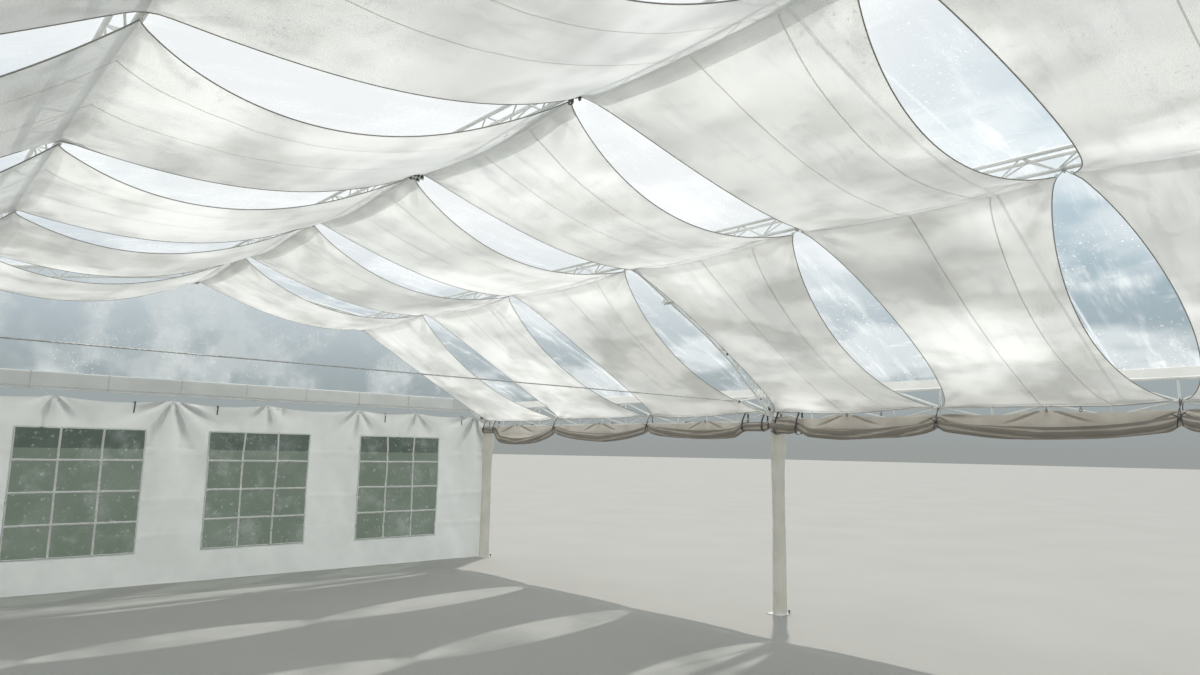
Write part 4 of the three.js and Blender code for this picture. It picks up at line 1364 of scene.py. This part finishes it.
# %% Edges of a drape
# EDGES holds the draw-in and the sag of an edge, by the side of the ridge, the span from it and the way. The
# last row is the guess. The jitter from line to line is made up, so that no two drapes are alike.
RIDGE_TIE, PURLIN_TIE, EAVE_TIE = (0.0, 4.172), (2.507, 3.756), (4.96, 2.4)
TIES = [RIDGE_TIE, PURLIN_TIE, EAVE_TIE]
TIE_GAP, BOW_POWER = 0.046, 0.741
EDGES = {(1, 0, 1): (0.243, 0.264), (1, 0, -1): (0.282, 0.250),
         (1, 1, 1): (0.269, 0.175), (1, 1, -1): (0.301, 0.126),
         (-1, 0, 1): (0.437, 0.264), (-1, 0, -1): (0.321, 0.309),
         (-1, 1, 1): (0.31, 0.17), (-1, 1, -1): (0.29, 0.15)}
LINE_SAG = (0.085, 0.07, 0.035)
MIDDLE_SAG, USUAL_SAG = (0.19, 0.13), (0.26, 0.155)


def drape_edge(line, way, reach):
    """A point of a drape's edge. way is 1 for the edge past its line and -1 for the edge before it."""
    side = 1 if reach >= 0 else -1
    span = 0 if abs(reach) < 1 else 1
    part = abs(reach) - span
    bow = 4 * part * (1 - part)
    draw, sag = EDGES[(side, span, way)]
    (start_x, start_z), (end_x, end_z) = TIES[span], TIES[span + 1]
    jitter = 1 + 0.12 * soft(line * 1.7 + way, side * 3 + span * 5)
    y = (line - 2) * DRAPE_PITCH + way * (TIE_GAP + draw * jitter * bow ** BOW_POWER)
    z = mix(start_z, end_z, part) - sag * bow
    return Vector((side * mix(start_x, end_x, part), y, z))


def tie_folds(x, y, corners, seed):
    """Height of the folds that fan out from the nearest ties."""
    height = 0.0
    for index, corner in enumerate(corners):
        across, along = x - corner[0], y - corner[1]
        reach = math.hypot(across, along)
        if reach > 1.3:
            continue
        angle = math.atan2(along, across)
        fade = reach / 0.2 * math.exp(1 - reach / 0.2)
        height += 0.011 * fade * math.sin(angle * 8 + index * 2.1 + seed)
    return height


def drape_surface(number):
    """The function that places the points of one drape."""
    near_line, far_line = number - 2, number - 1
    corners = []
    for reach in (-2, -1, 0, 1, 2):
        shown = max(min(reach, 1.999), -1.999)
        corners += [drape_edge(near_line, 1, shown), drape_edge(far_line, -1, shown)]

    def place(u, v, lift=0.0):
        reach = mix(-1.9999, 1.9999, u)
        near, far = drape_edge(near_line, 1, reach), drape_edge(far_line, -1, reach)
        point = near.lerp(far, v)
        span = 0 if abs(reach) < 1 else 1
        part = abs(reach) - span
        bow, cross = 4 * part * (1 - part), 4 * v * (1 - v)
        line_sag = mix(LINE_SAG[span], LINE_SAG[span + 1], part)
        point.z += cross * ((USUAL_SAG[span] - MIDDLE_SAG[span]) * bow - line_sag)
        x, y = point.x, point.y
        inside = min(1.0, cross * 3)
        point.z += tie_folds(x, y, corners, number) * mix(0.35, 1, inside)
        point.z += inside * 0.02 * soft(x * 0.7, y * 1.1, number * 3)
        to_purlin = math.exp(-abs(abs(x) - PURLIN_X) / 0.6)
        point.z += inside * 0.009 * (0.3 + to_purlin) * soft(x * 5.5, y * 0.8, number * 5)
        point.z += lift
        return point

    return place


# %% Seams, ridge bands and piping
SEAMS, SEAM_WIDTH, BAND_FROM, BAND_TO = (0.22, 0.52), 0.006, 0.4902, 0.5098


def piping(cloth_piece, name, radius=0.004):
    """The rolled hem: the cloth's own border edges, made into a round bead."""
    pick(cloth_piece)
    bpy.ops.object.duplicate()
    with editing():
        bpy.ops.mesh.region_to_loop()
        bpy.ops.mesh.select_all(action="INVERT")
        bpy.ops.mesh.delete(type="VERT")
    bead = thickened(radius, 1)
    bpy.ops.object.shade_smooth()
    bead.name = bead.data.name = name
    return settle(bead)


for number in range(1, 7):
    place = drape_surface(number)
    drape = mark_folds(painted(sheet(f"drape_cloth_{number}", 216, 44, place), LINING), -0.0012)
    hem = painted(piping(drape, f"drape_hem_{number}"), HEM)
    trims = [sheet("ridge_band", 12, 44, lambda u, v: place(mix(BAND_FROM, BAND_TO, u), v, -0.003))]
    for seam in SEAMS:
        trims.append(sheet("seam", 216, 1, lambda u, v: place(u, seam + (v - 0.5) * SEAM_WIDTH, -0.0015)))
    band = join(f"drape_bands_{number}", [painted(part, SEAM if index else LINING_DOUBLE)
                                          for index, part in enumerate(trims)])
    dress(drape, [f"lining_drape_{number}"])
    dress(hem)
    dress(band)
print("drapes: 6, faces each:", len(drape.data.polygons))

# %% [markdown]
# ## Drape ties
# At each drape line the cloth's corners end in rings, and a short cord goes from them round the nearest
# tube: three turns and a knot. A dark one is modelled for the ridge and pale ones for the purlins and the
# eaves.

# %% Ties
TIE_TURNS, TIE_STEPS, TIE_ROUND = 3, 40, 0.019


def wound_tie(drop, out, thick, ring_radius, cord_finish):
    """A cord wound round a tube along Y at the origin, with two loops to rings at the cloth's corners."""
    turns = []
    for index in range(TIE_STEPS + 1):
        angle, along = index / TIE_STEPS * TIE_TURNS * 2 * math.pi, mix(-0.012, 0.012, index / TIE_STEPS)
        turns.append((TIE_ROUND * math.cos(angle), along, TIE_ROUND * math.sin(angle)))
    parts = [bar(turns, thick, 6)]
    for way in (-1, 1):
        corner = Vector((out, way * TIE_GAP, -drop))
        start = Vector((-0.012 if out else 0, way * 0.01, -0.018))
        parts.append(bar([start, start.lerp(corner, 0.5) + Vector((0, 0, -0.006)), corner], thick, 6))
        parts.append(ring(corner, (0, math.pi / 2, 0.3 * way), ring_radius, thick))
    parts.append(knot((0.004, 0, -0.024), 0.009, (1.2, 0.8, 0.9)))
    return join("tie", [painted(part, cord_finish) for part in parts])


ridge_tie = wound_tie(0.04, 0.0, 0.0055, 0.018, DARK_STRAP)
roof_tie = wound_tie(0.04, 0.0, 0.0036, 0.009, WHITE_CORD)
eave_tie = wound_tie(0.0, -0.12, 0.0036, 0.01, WHITE_CORD)
for line in range(-1, 6):
    y = (line - 2) * DRAPE_PITCH
    ties = [copied(ridge_tie, "tie", (0, y, RIDGE_LOW_Z))]
    ties += [copied(roof_tie, "tie", (x, y, PURLIN_LOW_Z)) for x in (-PURLIN_X, PURLIN_X)]
    ties.append(copied(eave_tie, "tie", (EAVE_X, y, EAVE_BOTTOM)))
    ties.append(copied(eave_tie, "tie", (-EAVE_X, y, EAVE_BOTTOM), (-1, 1, 1)))
    dress(join(f"drape_ties_line_{line + 2}", ties))
for pattern in (ridge_tie, roof_tie, eave_tie):
    bpy.data.objects.remove(pattern)

# %% [markdown]
# ## Floor and light
# A plain pale floor and plain soft light. Daylight is a broad pale sky, whitened by haze on one side, with
# one soft sun almost overhead: the sun sends the shadows of the purlins down on to the drapes, and the thin
# cloth shows them from below.

# %% Stage
def floor_finish():
    """A plain pale ground, with broad soft patches."""
    ground = new_material("pale_floor")
    spot = ground.place()
    cloud = ground.noise(spot, 0.5)
    shader = ground.node("ShaderNodeBsdfPrincipled", {}, {
        "Base Color": ground.blend(cloud, (0.4, 0.4, 0.38, 1), (0.35, 0.35, 0.33, 1)),
        "Roughness": cloud * 0.1 + 0.75,
    })
    return ground.surface(shader)


deselect()
bpy.ops.mesh.primitive_plane_add(size=500, location=(0, 0, -0.001))
floor = painted(settle(bpy.context.object), floor_finish())
floor.name = "floor"


# %% Sky
HAZE_WAY, SKY_STRENGTH = (0.5, 0.78, 0.375), 0.95
GROUND_GREY, SKY_BLUE, SKY_WHITE = (0.34, 0.36, 0.35, 1), (0.44, 0.6, 0.7, 1), (1.0, 1.0, 1.0, 1)


def pale_sky():
    """Grey low down, blue above it and white overhead, with white haze on one side."""
    sky = Finish(bpy.data.worlds.new("sky"))
    way = sky.node("ShaderNodeTexCoord").outputs["Generated"]
    height = sky.along(way, 2)
    facing = sky.node("ShaderNodeVectorMath", {"operation": "DOT_PRODUCT"}, {0: way, 1: HAZE_WAY})
    haze = Value(sky, facing.outputs["Value"]).within(0.7, 0.985) * height.within(0.05, 0.3)
    stops = [(0.0, GROUND_GREY), (0.32, SKY_BLUE), (0.6, SKY_WHITE)]
    by_height = sky.node("ShaderNodeValToRGB", {"stops": stops}, {"Fac": height}).outputs[0]
    light = sky.node("ShaderNodeBackground", {}, {
        "Color": sky.blend(haze, by_height, SKY_WHITE), "Strength": SKY_STRENGTH,
    })
    return sky.surface(light, "ShaderNodeOutputWorld")


bpy.context.scene.world = pale_sky()

# %% Sun
sun_from = Vector((0.42, 0.3, 0.86))
sun_turn = sun_from.to_track_quat("Z", "Y").to_euler()
bpy.ops.object.light_add(type="SUN", location=sun_from * 20, rotation=sun_turn)
sun = bpy.context.object.data
sun.energy, sun.angle, sun.color = 2.0, math.radians(1.2), (1.0, 0.96, 0.9)
bpy.context.scene.view_settings.view_transform = "Standard"
